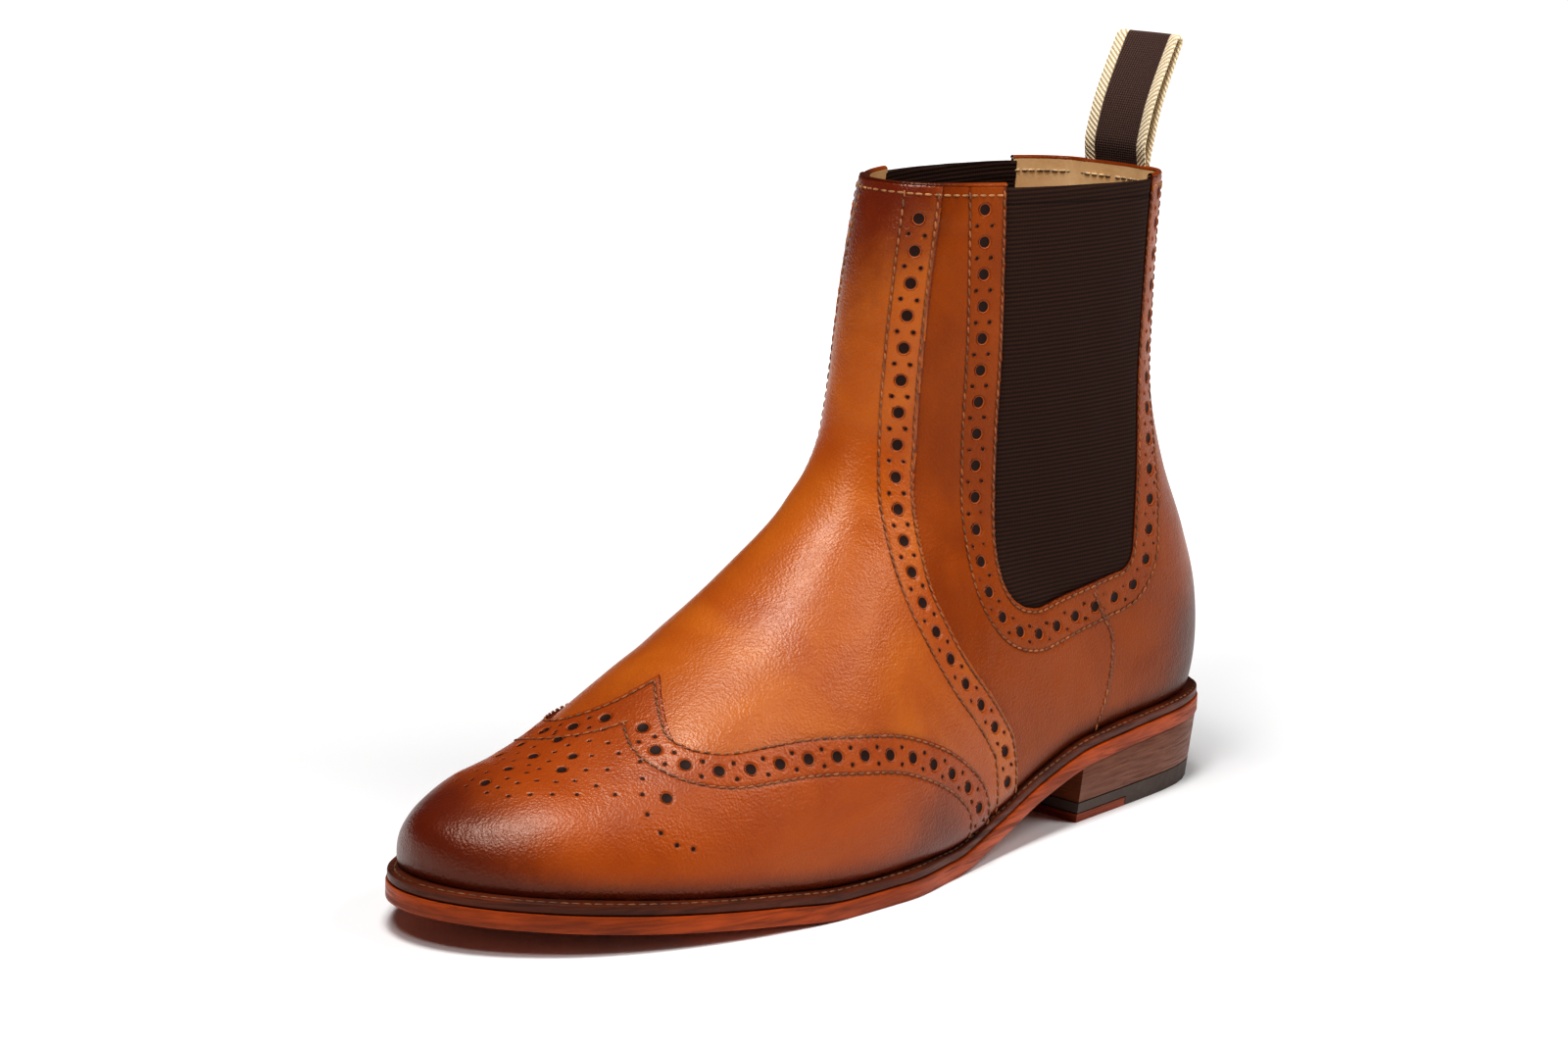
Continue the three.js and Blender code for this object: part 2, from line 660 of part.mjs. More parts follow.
const LIFT_TOP = TOP_PIECE + RUBBER_LIFT;

function heelStack() {
  return heelSlice((x) => outsoleUnder(x) - GAP, () => LIFT_TOP + GAP);
}

function topPieceFront(shift) {
  const divide = HEEL_LENGTH - TOP_PIECE_FRONT + shift;
  const height = TOP_PIECE + shift;
  return sideBlock([
    [divide, -REACH], [divide + REACH, -REACH], [divide + REACH, height], [divide, height],
  ], -REACH, REACH);
}

function heelRubber() {
  return heelSlice(() => LIFT_TOP, () => 0).subtract(topPieceFront(0));
}

function heelLeatherTip() {
  const leather = heelSlice(() => TOP_PIECE - GAP, () => 0);
  return leather.intersect(topPieceFront(GAP));
}

// How far forward the inside of the collar's back curves at a distance from the middle line
function collarCurve(y) {
  const section = sectionAt(LAST_SECTION - 1);
  const half = section.left - VAMP_STEP - LOOP_COVER;
  const depth = section.widest * (section.frontX - section.backX);
  const power = section.roundBack;
  return depth * (1 - (1 - Math.abs(y / half) ** power) ** (1 / power));
}

// A block bent to the inside of the collar's back, so that webbing lies along it
function bentBlock(shape, width) {
  const geometry = sideBlockGeometry(shape, -width / 2, width / 2, LOOP_BENDS);
  const position = geometry.attributes.position;
  for (let i = 0; i < position.count; i += 1) {
    position.setX(i, position.getX(i) + collarCurve(position.getY(i) + LOOP_SHIFT));
  }
  return solidOfGeometry(geometry).translate([0, LOOP_SHIFT, 0]);
}

function loopFoot() {
  return surfacePoint(LAST_SECTION - 1, Math.PI).x + VAMP_STEP + LOOP_COVER + GAP;
}

// The hollow in the inside of the collar's back that takes the loop's two ends
function loopPocket() {
  const back = loopFoot() - GAP;
  const front = back + LOOP_TAIL;
  const low = COLLAR_FRONT_HEIGHT - COLLAR_DROP - LOOP_TAIL - GAP;
  const high = COLLAR_FRONT_HEIGHT + LOOP_TAIL;
  const lean = LOOP_LEAN * 0.14;
  const shape = new THREE.Shape([
    new THREE.Vector2(back, low),
    new THREE.Vector2(front, low),
    new THREE.Vector2(front, high),
    new THREE.Vector2(back - lean, high),
    new THREE.Vector2(back, COLLAR_FRONT_HEIGHT - COLLAR_DROP - LOOP_TAIL * 0.6),
  ]);
  return bentBlock(shape, LOOP_WIDTH + 2 * GAP);
}

// The pull loop: two legs of webbing down inside the collar's back, folded over at the top
function pullLoop() {
  const footX = loopFoot();
  const collarZ = COLLAR_FRONT_HEIGHT - COLLAR_DROP;
  const middle = new THREE.SplineCurve([
    new THREE.Vector2(footX, collarZ - LOOP_TAIL),
    new THREE.Vector2(footX - LOOP_LEAN * 0.03, collarZ),
    new THREE.Vector2(footX - LOOP_LEAN * 0.14, collarZ + LOOP_HEIGHT * 0.2),
    new THREE.Vector2(footX - LOOP_LEAN * 0.4, collarZ + LOOP_HEIGHT * 0.52),
    new THREE.Vector2(footX - LOOP_LEAN, collarZ + LOOP_HEIGHT),
  ]);
  const steps = 12;
  const sides = Array.from({ length: steps + 1 }, (_, i) => {
    const s = i / steps;
    const tangent = middle.getTangent(s);
    const across = new THREE.Vector2(tangent.y, -tangent.x);
    const open = LOOP_GAP * Math.sqrt(Math.sin(Math.PI * Math.min(0.98, 0.04 + 0.9 * s)));
    return { at: middle.getPoint(s), across, open };
  });
  const edge = (list, low, high) => list.map(({ at, across, open }) => {
    const out = at.clone().addScaledVector(across, low + high * open);
    return [out.x, out.y];
  });
  const reversed = [...sides].reverse();
  const outer = [
    ...edge(sides, 2 * LOOP_WEBBING, 1),
    ...edge(reversed, 0, 0),
  ];
  const free = sides.slice(2, -1);
  const hole = [
    ...edge(free, LOOP_WEBBING, 1),
    ...edge([...free].reverse(), LOOP_WEBBING, 0),
  ];
  const shape = new THREE.Shape(outer.map(([x, z]) => new THREE.Vector2(x, z)));
  shape.holes.push(new THREE.Path(hole.map(([x, z]) => new THREE.Vector2(x, z))));
  return bentBlock(shape, LOOP_WIDTH);
}

// The boot, standing on its sole with the toe towards -Y, over the middle of its own box
const boot = new THREE.Group();
boot.add(
  meshOf('upper', upper(), FINISH.tan),
  meshOf('wing_cap', wingCap(), FINISH.cap),
  meshOf('elastic_gore_left', elasticGore(1), FINISH.elastic),
  meshOf('elastic_gore_right', elasticGore(-1), FINISH.elastic),
  meshOf('pull_loop', pullLoop(), FINISH.webbing),
  meshOf('welt', welt(), FINISH.welt),
  meshOf('outsole', outsole(), FINISH.outsole),
  meshOf('insole', insole(), FINISH.insole),
  meshOf('heel_stack', heelStack(), FINISH.stack),
  meshOf('heel_rubber', heelRubber(), FINISH.rubber),
  meshOf('heel_leather_tip', heelLeatherTip(), FINISH.outsole),
);
boot.rotation.z = -Math.PI / 2;
boot.updateMatrixWorld(true);
const box = new THREE.Box3().setFromObject(boot, true);
const centre = box.getCenter(new THREE.Vector3());
boot.position.set(-centre.x, -centre.y, -box.min.z);

const model = new THREE.Group();
model.name = 'wing_cap_boot';
model.add(boot);
model.updateMatrixWorld(true);

export default model;
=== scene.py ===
"""The looks of the left wing-cap Chelsea boot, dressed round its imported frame.

Shapes are worked out in the boot's own frame, in millimetres: X forward from the heel's back
edge, Y to the wearer's left, Z up from the floor. place() turns them into the row frame, in
metres, with the toe towards -Y.
"""

import math

import bpy
import numpy as np
from mathutils import Matrix, Vector


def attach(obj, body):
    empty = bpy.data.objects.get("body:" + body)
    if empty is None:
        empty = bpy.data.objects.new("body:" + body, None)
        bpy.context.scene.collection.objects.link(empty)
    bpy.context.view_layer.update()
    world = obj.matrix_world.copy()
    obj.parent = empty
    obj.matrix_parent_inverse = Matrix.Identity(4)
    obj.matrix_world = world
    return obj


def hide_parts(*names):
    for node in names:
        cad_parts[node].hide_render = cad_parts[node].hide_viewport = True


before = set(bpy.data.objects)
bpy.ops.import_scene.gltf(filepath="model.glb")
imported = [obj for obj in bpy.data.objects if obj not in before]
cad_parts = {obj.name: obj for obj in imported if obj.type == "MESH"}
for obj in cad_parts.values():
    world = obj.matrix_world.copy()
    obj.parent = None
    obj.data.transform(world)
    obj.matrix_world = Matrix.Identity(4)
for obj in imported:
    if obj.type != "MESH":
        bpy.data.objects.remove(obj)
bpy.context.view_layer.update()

# Sizes, as in the part's source
SOLE_LENGTH = 303.0
BALL_WIDTH = 101.0
HEEL_WIDTH = 68.0
UPPER_HEIGHT = 161.0
COLLAR_DROP = 2.4
HEEL_HEIGHT = 21.2
TOE_SPRING = 8.5
HEEL_LENGTH = 79.0
HEEL_TAPER = 2.2
OUTSOLE_THICKNESS = 4.8
WELT_THICKNESS = 2.6
WELT_SETBACK = 0.4
WELT_LEDGE_HEEL = 2.4
WELT_LEDGE_BALL = 4.6
UPPER_WALL = 2.2
VAMP_STEP = 0.9
SEAM_STEP = 0.4
GAP = 0.3
RUBBER_LIFT = 3.0
TOP_PIECE = 2.9
LOOP_WIDTH = 23.5
LOOP_HEIGHT = 39.0
LOOP_LEAN = 14.5
LOOP_TAIL = 12.0
LOOP_WEBBING = 1.3
LOOP_GAP = 2.4
LOOP_COVER = 1.0
LOOP_SHIFT = 1.0
GORE_FRONT = 112.3
GORE_BACK = 54.5
GORE_LEAN = 3.5
GORE_RISE_FRONT = 38.0
GORE_RISE_BACK = 43.5
GORE_CORNER_FRONT = 17.0
GORE_CORNER_BACK = 8.0
GORE_THICKNESS = 1.3
GORE_MIDDLE = (GORE_FRONT + GORE_BACK) / 2
Y_SHIFT = 2.64

# Where the outer faces lie, from the surface that the vamp's face follows
CAP_FACE = 1.3
VAMP_FACE = 0.0
QUARTER_FACE = -VAMP_STEP
BACK_FACE = -VAMP_STEP - SEAM_STEP
GORE_FACE = -1.4
LINING_FACE = -3.1

# Cross-sections of the upper, toe first, with the columns of the part's source: frontX,
# frontUp, backX, backUp, left, right, widest, roundFront, roundBack, ridgeShift, middleShift
FOREFOOT_SECTIONS = [
    [0.981, 0.043, 0.981, 0.035, 0.006, 0.006, 0.50, 2.00, 2.0, -0.080, -0.080],
    [0.979, 0.066, 0.979, 0.005, 0.057, 0.045, 0.50, 2.00, 2.2, -0.082, -0.080],
    [0.973, 0.086, 0.973, -0.022, 0.112, 0.096, 0.47, 2.05, 2.5, -0.084, -0.081],
    [0.963, 0.100, 0.963, -0.039, 0.167, 0.145, 0.44, 2.10, 2.8, -0.086, -0.082],
    [0.949, 0.113, 0.949, -0.050, 0.220, 0.187, 0.41, 2.15, 3.0, -0.085, -0.081],
    [0.928, 0.131, 0.928, -0.059, 0.277, 0.237, 0.38, 2.20, 3.2, -0.080, -0.073],
    [0.895, 0.158, 0.895, -0.063, 0.332, 0.285, 0.36, 2.20, 3.4, -0.072, -0.061],
    [0.851, 0.184, 0.851, -0.066, 0.382, 0.325, 0.33, 2.20, 3.4, -0.057, -0.042],
    [0.799, 0.231, 0.799, -0.064, 0.426, 0.362, 0.28, 2.10, 3.4, -0.050, -0.025],
    [0.739, 0.305, 0.739, -0.062, 0.455, 0.396, 0.24, 2.00, 3.4, -0.045, -0.010],
    [0.677, 0.384, 0.670, -0.056, 0.472, 0.407, 0.21, 1.95, 3.4, -0.040, 0.000],
    [0.627, 0.447, 0.587, -0.054, 0.485, 0.411, 0.20, 1.95, 3.3, -0.030, 0.005],
    [0.587, 0.506, 0.488, -0.048, 0.460, 0.386, 0.21, 2.00, 3.2, -0.020, 0.006],
    [0.550, 0.563, 0.370, -0.077, 0.405, 0.360, 0.24, 2.05, 3.1, -0.010, 0.004],
]
LEG_SECTIONS = [
    [0.528, 0.614, 0.248, -0.101, 0.528, 0.499, 0.28, 2.10, 3.0, -0.005, 0.002],
    [0.515, 0.663, 0.125, -0.105, 0.479, 0.474, 0.32, 2.10, 2.9, 0.000, 0.000],
    [0.508, 0.704, 0.043, -0.098, 0.456, 0.456, 0.34, 2.10, 2.8, 0.000, 0.000],
    [0.504, 0.741, 0.008, 0.013, 0.456, 0.456, 0.34, 2.10, 2.7, 0.000, 0.000],
    [0.500, 0.778, 0.008, 0.156, 0.456, 0.456, 0.34, 2.10, 2.6, 0.000, 0.000],
    [0.496, 0.822, 0.035, 0.293, 0.451, 0.451, 0.34, 2.10, 2.6, 0.000, 0.000],
    [0.491, 0.874, 0.074, 0.438, 0.446, 0.446, 0.35, 2.10, 2.6, 0.000, 0.000],
    [0.485, 0.936, 0.099, 0.582, 0.443, 0.443, 0.36, 2.10, 2.6, 0.000, 0.000],
    [0.478, 1.000, 0.104, 0.732, 0.443, 0.443, 0.36, 2.10, 2.6, 0.000, 0.000],
    [0.468, 1.065, 0.104, 0.875, 0.444, 0.444, 0.36, 2.15, 2.6, 0.000, 0.000],
    [0.456, 1.126, 0.101, 1.002, 0.447, 0.447, 0.36, 2.20, 2.6, 0.000, 0.000],
    [0.447, 1.187, 0.100, 1.110, 0.449, 0.449, 0.36, 2.20, 2.6, 0.000, 0.000],
]
# Outline of the sole: share of the length, left half-width, right half-width
HEEL_OUTLINE = [
    [0.000, 0.000, 0.000],
    [0.026, 0.306, 0.306],
    [0.083, 0.421, 0.421],
    [0.165, 0.476, 0.474],
    [0.248, 0.518, 0.493],
]
BALL_OUTLINE = [
    [0.330, 0.378, 0.337],
    [0.413, 0.420, 0.351],
    [0.495, 0.475, 0.386],
    [0.578, 0.525, 0.434],
    [0.660, 0.527, 0.463],
    [0.743, 0.497, 0.475],
    [0.825, 0.436, 0.450],
    [0.898, 0.341, 0.394],
    [0.957, 0.203, 0.296],
    [0.987, 0.080, 0.202],
    [1.000, -0.070, 0.070],
]
# Underside of the outsole: share of the length, share of the heel's height, share of the
# toe spring
RISE_ROWS = [
    [0.000, 1.000, 0],
    [0.244, 0.835, 0],
    [0.330, 0.580, 0],
    [0.413, 0.226, 0],
    [0.495, 0, 0],
    [0.644, 0, 0],
    [0.743, 0, 0.270],
    [0.825, 0, 0.494],
    [0.908, 0, 0.741],
    [1.000, 0, 1.000],
]
# Panel edges seen from the side: share of the length, share of the upper's height over the welt
VAMP_EDGE = [
    [0.421, 1.200], [0.445, 0.929], [0.454, 0.725], [0.457, 0.648],
    [0.466, 0.562], [0.470, 0.450], [0.459, 0.366], [0.440, 0.290],
    [0.417, 0.227], [0.392, 0.151], [0.381, 0.099], [0.376, -0.030],
]
WING_LEFT = [
    [0.769, 0.234], [0.762, 0.224], [0.739, 0.222], [0.703, 0.234], [0.664, 0.245],
    [0.625, 0.244], [0.566, 0.231], [0.515, 0.198], [0.476, 0.155], [0.447, 0.097],
    [0.435, 0.048], [0.430, -0.030],
]
WING_RIGHT = [
    [0.796, 0.226], [0.788, 0.217], [0.758, 0.218], [0.715, 0.230], [0.670, 0.240],
    [0.630, 0.239], [0.570, 0.226], [0.520, 0.194], [0.480, 0.150], [0.452, 0.095],
    [0.440, 0.045], [0.436, -0.030],
]
# The cap's middle peak seen from above: share of the length, share of the ball's width
PEAK_LEFT = [
    [0.800, 0.270], [0.776, 0.215], [0.768, 0.165], [0.757, 0.110], [0.745, 0.060],
    [0.731, 0.012],
]
PEAK_RIGHT = [
    [0.731, 0.012], [0.745, -0.005], [0.764, -0.035], [0.783, -0.085], [0.796, -0.150],
    [0.806, -0.230],
]
WING_START = 0.12
# Where the quarters join: share of the length, share of the upper's height over the welt
SEAM_LINE = [
    [0.232, 0.262], [0.218, 0.215], [0.208, 0.190], [0.203, 0.165], [0.203, 0.120],
    [0.213, 0.060], [0.226, 0.015], [0.236, -0.040],
]

# Rows of holes and stitches, by how far they lie from their panel's edge
STITCH_EDGE = 1.1
SEAM_STITCH = 1.4
VAMP_HOLES, VAMP_STITCH = 6.0, 11.4
CAP_HOLES, CAP_STITCH = 6.3, 11.0
GORE_HOLES, GORE_STITCH = 7.4, 12.2
HOLE_PITCH = 9.1
HOLE_PAIR = 2.3
BIG_HOLE, SMALL_HOLE = 1.85, 0.64
STITCH_PITCH, STITCH_LENGTH, STITCH_RADIUS = 2.7, 2.0, 0.34
WELT_STITCH_PITCH, WELT_STITCH_LENGTH, WELT_STITCH_RADIUS = 3.0, 2.3, 0.32
WELT_SEAM = 0.52  # share of the welt's ledge
COLLAR_STITCH, LINING_STITCH = 2.6, 3.6  # below the collar's top

# The toe's pattern seen from above: its middle, and spots forward and outwards by their radius
PATTERN_MIDDLE = (259.0, -7.5)
PATTERN = {
    1.75: [(-14, 36)],
    1.6: [(0, 0), (-9, 0), (1, 12), (17, 0)],
    1.4: [(9, 0), (-5, 10)],
    0.68: [(-8, 40), (-11, 43), (-15, 45)],
    0.63: [(-15, 25), (-12, 29), (-9, 32), (-7, 36)],
    0.58: [
        (4.5, 3), (4.5, 7), (8, 6), (-4, 4), (-8, 5), (-12, 4), (-12, 9), (-8, 14), (-3, 17),
        (2, 18), (6, 15), (9, 11), (13, 8), (13, 4), (17, 5), (20, 4), (18, 10), (14, 14),
        (10, 18), (5, 22), (-1, 23), (-7, 21), (-13, 19), (-14, 14), (-3, 28), (0, 6), (-17, 9),
    ],
}
PATTERN_LOWEST = 24.0

# Creases as soft folds seen from the side: points, side, depth, width
CREASES = [
    [[(152, 104), (140, 92), (124, 86)], 1, -0.16, 4.5],
    [[(156, 92), (144, 80), (128, 74)], 1, -0.14, 4.5],
    [[(118, 58), (106, 50), (94, 46)], 1, -0.14, 4.0],
    [[(152, 106), (140, 95), (124, 90)], -1, -0.2, 4.5],
    [[(156, 94), (144, 82), (128, 76)], -1, -0.18, 4.5],
    [[(208, 64), (196, 52), (188, 40)], -1, -0.16, 5.0],
    [[(142, 184), (135, 178), (126, 175)], 1, -0.16, 3.0],
    [[(60, 58), (48, 62), (36, 62)], 1, -0.14, 4.5],
]

# The leather's relief and edges
HOLE_DEPTH, HOLE_LIP = 0.95, 0.06
THREAD_GROOVE, THREAD_GROOVE_WIDTH = 0.16, 0.55
WELT_TUCK, WELT_TUCK_HEIGHT = 0.5, 1.6
EDGE_DEPTH, CAP_EDGE_DEPTH, EDGE_SOFTNESS = 0.8, 1.2, 0.25
COLLAR_TRIM, WELT_TRIM = 0.35, 0.05
FOLD_HEIGHT = 0.95
VAMP_UNDER_CAP, QUARTER_UNDER_VAMP, BACK_UNDER_FRONT = 9.0, 5.0, 6.0
NO_HOLE, NO_THREAD = 2.5, 3.0  # distances at which neither shows

# Elastic and webbing
ELASTIC_RIB = 1.25
GORE_TRIM, HEM_DROP = 1.0, 4.6
LOOP_BULGE = 2.7
LOOP_STEPS = 60
TWILL_PITCH, RIB_PITCH, WEFT_PITCH = 1.5, 0.85, 0.7

LINE_STEP = 1.5
SURFACE_STEP = 1e-3
SKIN_BATCH, HOLE_BATCH = 20000, 8000
FAR = 400.0


# Curves and heights
def smooth_curve(knots):
    """A curve through knots that doesn't overshoot them."""
    x, y = np.array(knots, float).T
    pitch = np.diff(y) / np.diff(x)
    product = pitch[:-1] * pitch[1:]
    total = np.where(product > 0, pitch[:-1] + pitch[1:], 1.0)
    inner = np.where(product > 0, 2 * product / total, 0.0)
    slope = np.concatenate([pitch[:1], inner, pitch[-1:]])

    def value(at):
        at = np.clip(np.asarray(at, float), x[0], x[-1])
        i = np.clip(np.searchsorted(x, at, side="left") - 1, 0, len(x) - 2)
        width = x[i + 1] - x[i]
        s = (at - x[i]) / width
        rise = 3 * s * s - 2 * s**3
        bend = slope[i] * s * (1 - s) ** 2 - slope[i + 1] * s * s * (1 - s)
        return y[i] * (1 - rise) + y[i + 1] * rise + width * bend

    return value


outsole_under = smooth_curve(
    [[a * SOLE_LENGTH, h * HEEL_HEIGHT + s * TOE_SPRING] for a, h, s in RISE_ROWS]
)


def outsole_top(x):
    return outsole_under(x) + OUTSOLE_THICKNESS


def welt_under(x):
    return outsole_top(x) + GAP


def welt_top(x):
    return welt_under(x) + WELT_THICKNESS


LEG_FLOOR = float(welt_top(0))
COLLAR_FRONT = LEG_FLOOR + UPPER_HEIGHT + GAP


def collar_height(x):
    return COLLAR_FRONT - COLLAR_DROP / (SOLE_LENGTH / 2) * (SOLE_LENGTH / 2 - x)


def smooth(value, low, high):
    s = np.clip((value - low) / (high - low), 0, 1)
    return s * s * (3 - 2 * s)


def hump(value, middle, width):
    return np.exp(-(((value - middle) / width) ** 2))


def unit(vectors):
    return vectors / np.maximum(np.linalg.norm(vectors, axis=-1, keepdims=True), 1e-9)


def run_along(points):
    """Distance along a line of points from its start."""
    return np.concatenate([[0], np.cumsum(np.linalg.norm(np.diff(points, axis=0), axis=1))])


def resampled(table, run, at):
    """A table's rows at other places along its run."""
    return np.stack([np.interp(at, run, column) for column in table.T], 1)


# The upper's surface
def section_sizes(row, half_width):
    """A row of the tables in millimetres."""
    front, back = row[0] * SOLE_LENGTH, row[2] * SOLE_LENGTH
    front_up = float(welt_top(front)) + row[1] * UPPER_HEIGHT
    back_up = float(welt_top(back)) + row[3] * UPPER_HEIGHT
    halves = [row[4] * half_width, row[5] * half_width]
    shifts = [row[9] * BALL_WIDTH, row[10] * BALL_WIDTH]
    return [front, front_up, back, back_up, *halves, *row[6:9], *shifts]


SECTIONS = np.array(
    [section_sizes(row, BALL_WIDTH) for row in FOREFOOT_SECTIONS]
    + [section_sizes(row, HEEL_WIDTH) for row in LEG_SECTIONS]
)
LAST = len(SECTIONS) - 1
SKIN_END = LAST - 0.3
LEG_START = 12.0


def sections_at(along):
    """Sizes between the sections, along a smooth curve."""
    i = np.clip(np.floor(along).astype(int), 0, LAST - 1)
    s = (along - i)[:, None]
    b, c = SECTIONS[i], SECTIONS[i + 1]
    a = np.where((i > 0)[:, None], SECTIONS[np.maximum(i - 1, 0)], 2 * b - c)
    d = np.where((i + 2 <= LAST)[:, None], SECTIONS[np.minimum(i + 2, LAST)], 2 * c - b)
    square, cube = 2 * a - 5 * b + 4 * c - d, 3 * b - a - 3 * c + d
    return 0.5 * (2 * b + (c - a) * s + square * s**2 + cube * s**3)


def surface(along, angle):
    """Points of the vamp's face, at a place along the sections and an angle round them."""
    along, angle = np.broadcast_arrays(np.asarray(along, float), np.asarray(angle, float))
    shape = along.shape
    row = sections_at(along.ravel()).T
    cosine, sine = np.cos(angle.ravel()), np.sin(angle.ravel())
    front = cosine > 0
    power = 2 / np.where(front, row[7], row[8])
    reach = np.abs(cosine) ** power
    half = np.where(sine > 0, row[4], row[5]) * np.abs(sine) ** power
    share = np.where(front, row[6] + (1 - row[6]) * reach, row[6] * (1 - reach))
    shift = row[10] + np.where(front, (row[9] - row[10]) * reach, 0)
    x = row[2] + (row[0] - row[2]) * share
    z = row[3] + (row[1] - row[3]) * share
    return np.stack([x, np.sign(sine) * half + shift, z], -1).reshape(shape + (3,))


def normals(along, angle):
    step = 0.02
    ahead, behind = np.minimum(along + step, LAST), np.maximum(along - step, 0)
    lengthwise = surface(ahead, angle) - surface(behind, angle)
    around = surface(along, angle + step) - surface(along, angle - step)
    return unit(np.cross(around, lengthwise))


def slopes(along, angle):
    """Points of the surface, and how they move with each of the two coordinates."""
    here = surface(along, angle)
    by_along = surface(np.minimum(along + SURFACE_STEP, LAST), angle) - here
    by_angle = surface(along, angle + SURFACE_STEP) - here
    return here, by_along / SURFACE_STEP, by_angle / SURFACE_STEP


# Places on the surface from known coordinates, and lines of such places
guess_along, guess_angle = np.meshgrid(
    np.linspace(0.2, LAST, 240), np.linspace(-np.pi, np.pi, 241)[1:], indexing="ij"
)
guess_points = surface(guess_along, guess_angle)


def locate(targets, axes, side):
    """Places on the surface whose two given coordinates are the targets', on one side."""
    if 1 in axes:
        allowed = np.cos(guess_angle) > 0.1
    else:
        allowed = np.sin(guess_angle) * side > 0.02
    candidates = guess_points[allowed][:, axes]
    targets = np.asarray(targets, float)
    nearest = [np.argmin(((candidates - t) ** 2).sum(1)) for t in targets]
    along, angle = guess_along[allowed][nearest], guess_angle[allowed][nearest]
    for _ in range(14):
        here, by_along, by_angle = (rows[:, axes] for rows in slopes(along, angle))
        miss = targets - here
        det = by_along[:, 0] * by_angle[:, 1] - by_along[:, 1] * by_angle[:, 0]
        det = np.where(np.abs(det) < 1e-6, 1e-6, det)
        move_along = (miss[:, 0] * by_angle[:, 1] - miss[:, 1] * by_angle[:, 0]) / det
        move_angle = (by_along[:, 0] * miss[:, 1] - by_along[:, 1] * miss[:, 0]) / det
        along = np.clip(along + np.clip(move_along, -0.4, 0.4), 0, LAST - SURFACE_STEP)
        angle = angle + np.clip(move_angle, -0.15, 0.15)
    return np.stack([along, angle], 1)


def settle(targets, start):
    """Places on the surface nearest to points that lie close to it."""
    along, angle = start.T.copy()
    for _ in range(8):
        here, by_along, by_angle = slopes(along, angle)
        miss = targets - here
        aa, bb, ab = (by_along**2).sum(1), (by_angle**2).sum(1), (by_along * by_angle).sum(1)
        ma, mb = (miss * by_along).sum(1), (miss * by_angle).sum(1)
        det = np.maximum(aa * bb - ab * ab, 1e-6)
        move_along = np.clip((bb * ma - ab * mb) / det, -0.5, 0.5)
        along = np.clip(along + move_along, 0, LAST - SURFACE_STEP)
        angle = angle + np.clip((aa * mb - ab * ma) / det, -0.2, 0.2)
    return np.stack([along, angle], 1)


def even_steps(path, pitch):
    """A line on the surface cut into steps of one length."""
    run = run_along(surface(*path.T))
    count = max(int(round(run[-1] / pitch)), 1)
    return resampled(path, run, np.linspace(0, run[-1], count + 1))


def beside(path, distance):
    """The line that runs beside another on the surface, to its left for more than 0."""
    path = even_steps(path, LINE_STEP)
    points = surface(*path.T)
    across = np.cross(normals(*path.T), unit(np.gradient(points, axis=0)))
    return even_steps(settle(points + unit(across) * distance, path), LINE_STEP)


def spline(points, steps):
    """A smooth line through points in the plane."""
    p = np.array(points, float)
    at = np.linspace(0, len(p) - 1, steps + 1)
    i = np.clip(np.floor(at).astype(int), 0, len(p) - 2)
    s = (at - i)[:, None]
    a, b = p[np.maximum(i - 1, 0)], p[i]
    c, d = p[i + 1], p[np.minimum(i + 2, len(p) - 1)]
    v0, v1 = (c - a) * 0.5, (d - b) * 0.5
    square, cube = -3 * b + 3 * c - 2 * v0 - v1, 2 * b - 2 * c + v0 + v1
    return cube * s**3 + square * s**2 + v0 * s + b


def side_curve(shares, steps=96):
    rows = np.array(shares, float)
    x = rows[:, 0] * SOLE_LENGTH
    return spline(np.stack([x, welt_top(x) + rows[:, 1] * UPPER_HEIGHT], 1), steps)


def corner(a, b, c):
    """A round corner from a to c, drawn towards b."""
    s = np.linspace(0, 1, 16)[:, None]
    return (1 - s) ** 2 * np.array(a) + 2 * s * (1 - s) * np.array(b) + s**2 * np.array(c)


def gore_outline(inset):
    front, back = GORE_FRONT - inset, GORE_BACK + inset
    low_front = LEG_FLOOR + GORE_RISE_FRONT + inset
    low_back = LEG_FLOOR + GORE_RISE_BACK + inset
    r, q = GORE_CORNER_FRONT, GORE_CORNER_BACK
    top = COLLAR_FRONT + 30
    return np.concatenate([
        [[front, top]],
        corner((front, low_front + r), (front, low_front), (front - r, low_front)),
        corner((back + q, low_back), (back, low_back), (back, low_back + q)),
        [[back - GORE_LEAN, COLLAR_FRONT], [back - GORE_LEAN, top]],
    ])


def signed_distance(points, polygon):
    """Distance of points in the plane to a closed outline, positive inside it."""
    best = np.full(len(points), 1e9)
    inside = np.zeros(len(points), bool)
    for p, q in zip(polygon, np.roll(polygon, -1, axis=0)):
        edge = q - p
        rel = points - p
        s = np.clip((rel @ edge) / max(edge @ edge, 1e-12), 0, 1)
        best = np.minimum(best, ((rel - s[:, None] * edge) ** 2).sum(1))
        crosses = (p[1] > points[:, 1]) != (q[1] > points[:, 1])
        if crosses.any() and abs(edge[1]) > 1e-12:
            at = p[0] + (points[:, 1] - p[1]) / edge[1] * edge[0]
            inside ^= crosses & (points[:, 0] < at)
    return np.where(inside, 1, -1) * np.sqrt(best)


# Fields over the leather, in millimetres, positive inside
def ahead_of(shares, points):
    edge = side_curve(shares)
    beyond = [[edge[-1][0], -FAR], [2 * FAR, -FAR], [2 * FAR, FAR], [edge[0][0], FAR]]
    return signed_distance(points[:, [0, 2]], np.concatenate([edge, beyond]))


def in_vamp(points):
    return ahead_of(VAMP_EDGE, points)


def ahead_of_seam(points):
    return ahead_of(SEAM_LINE, points)


def in_gore(points, inset=0.0):
    return signed_distance(points[:, [0, 2]], gore_outline(inset))


def outside_gore(points):
    return -in_gore(points)


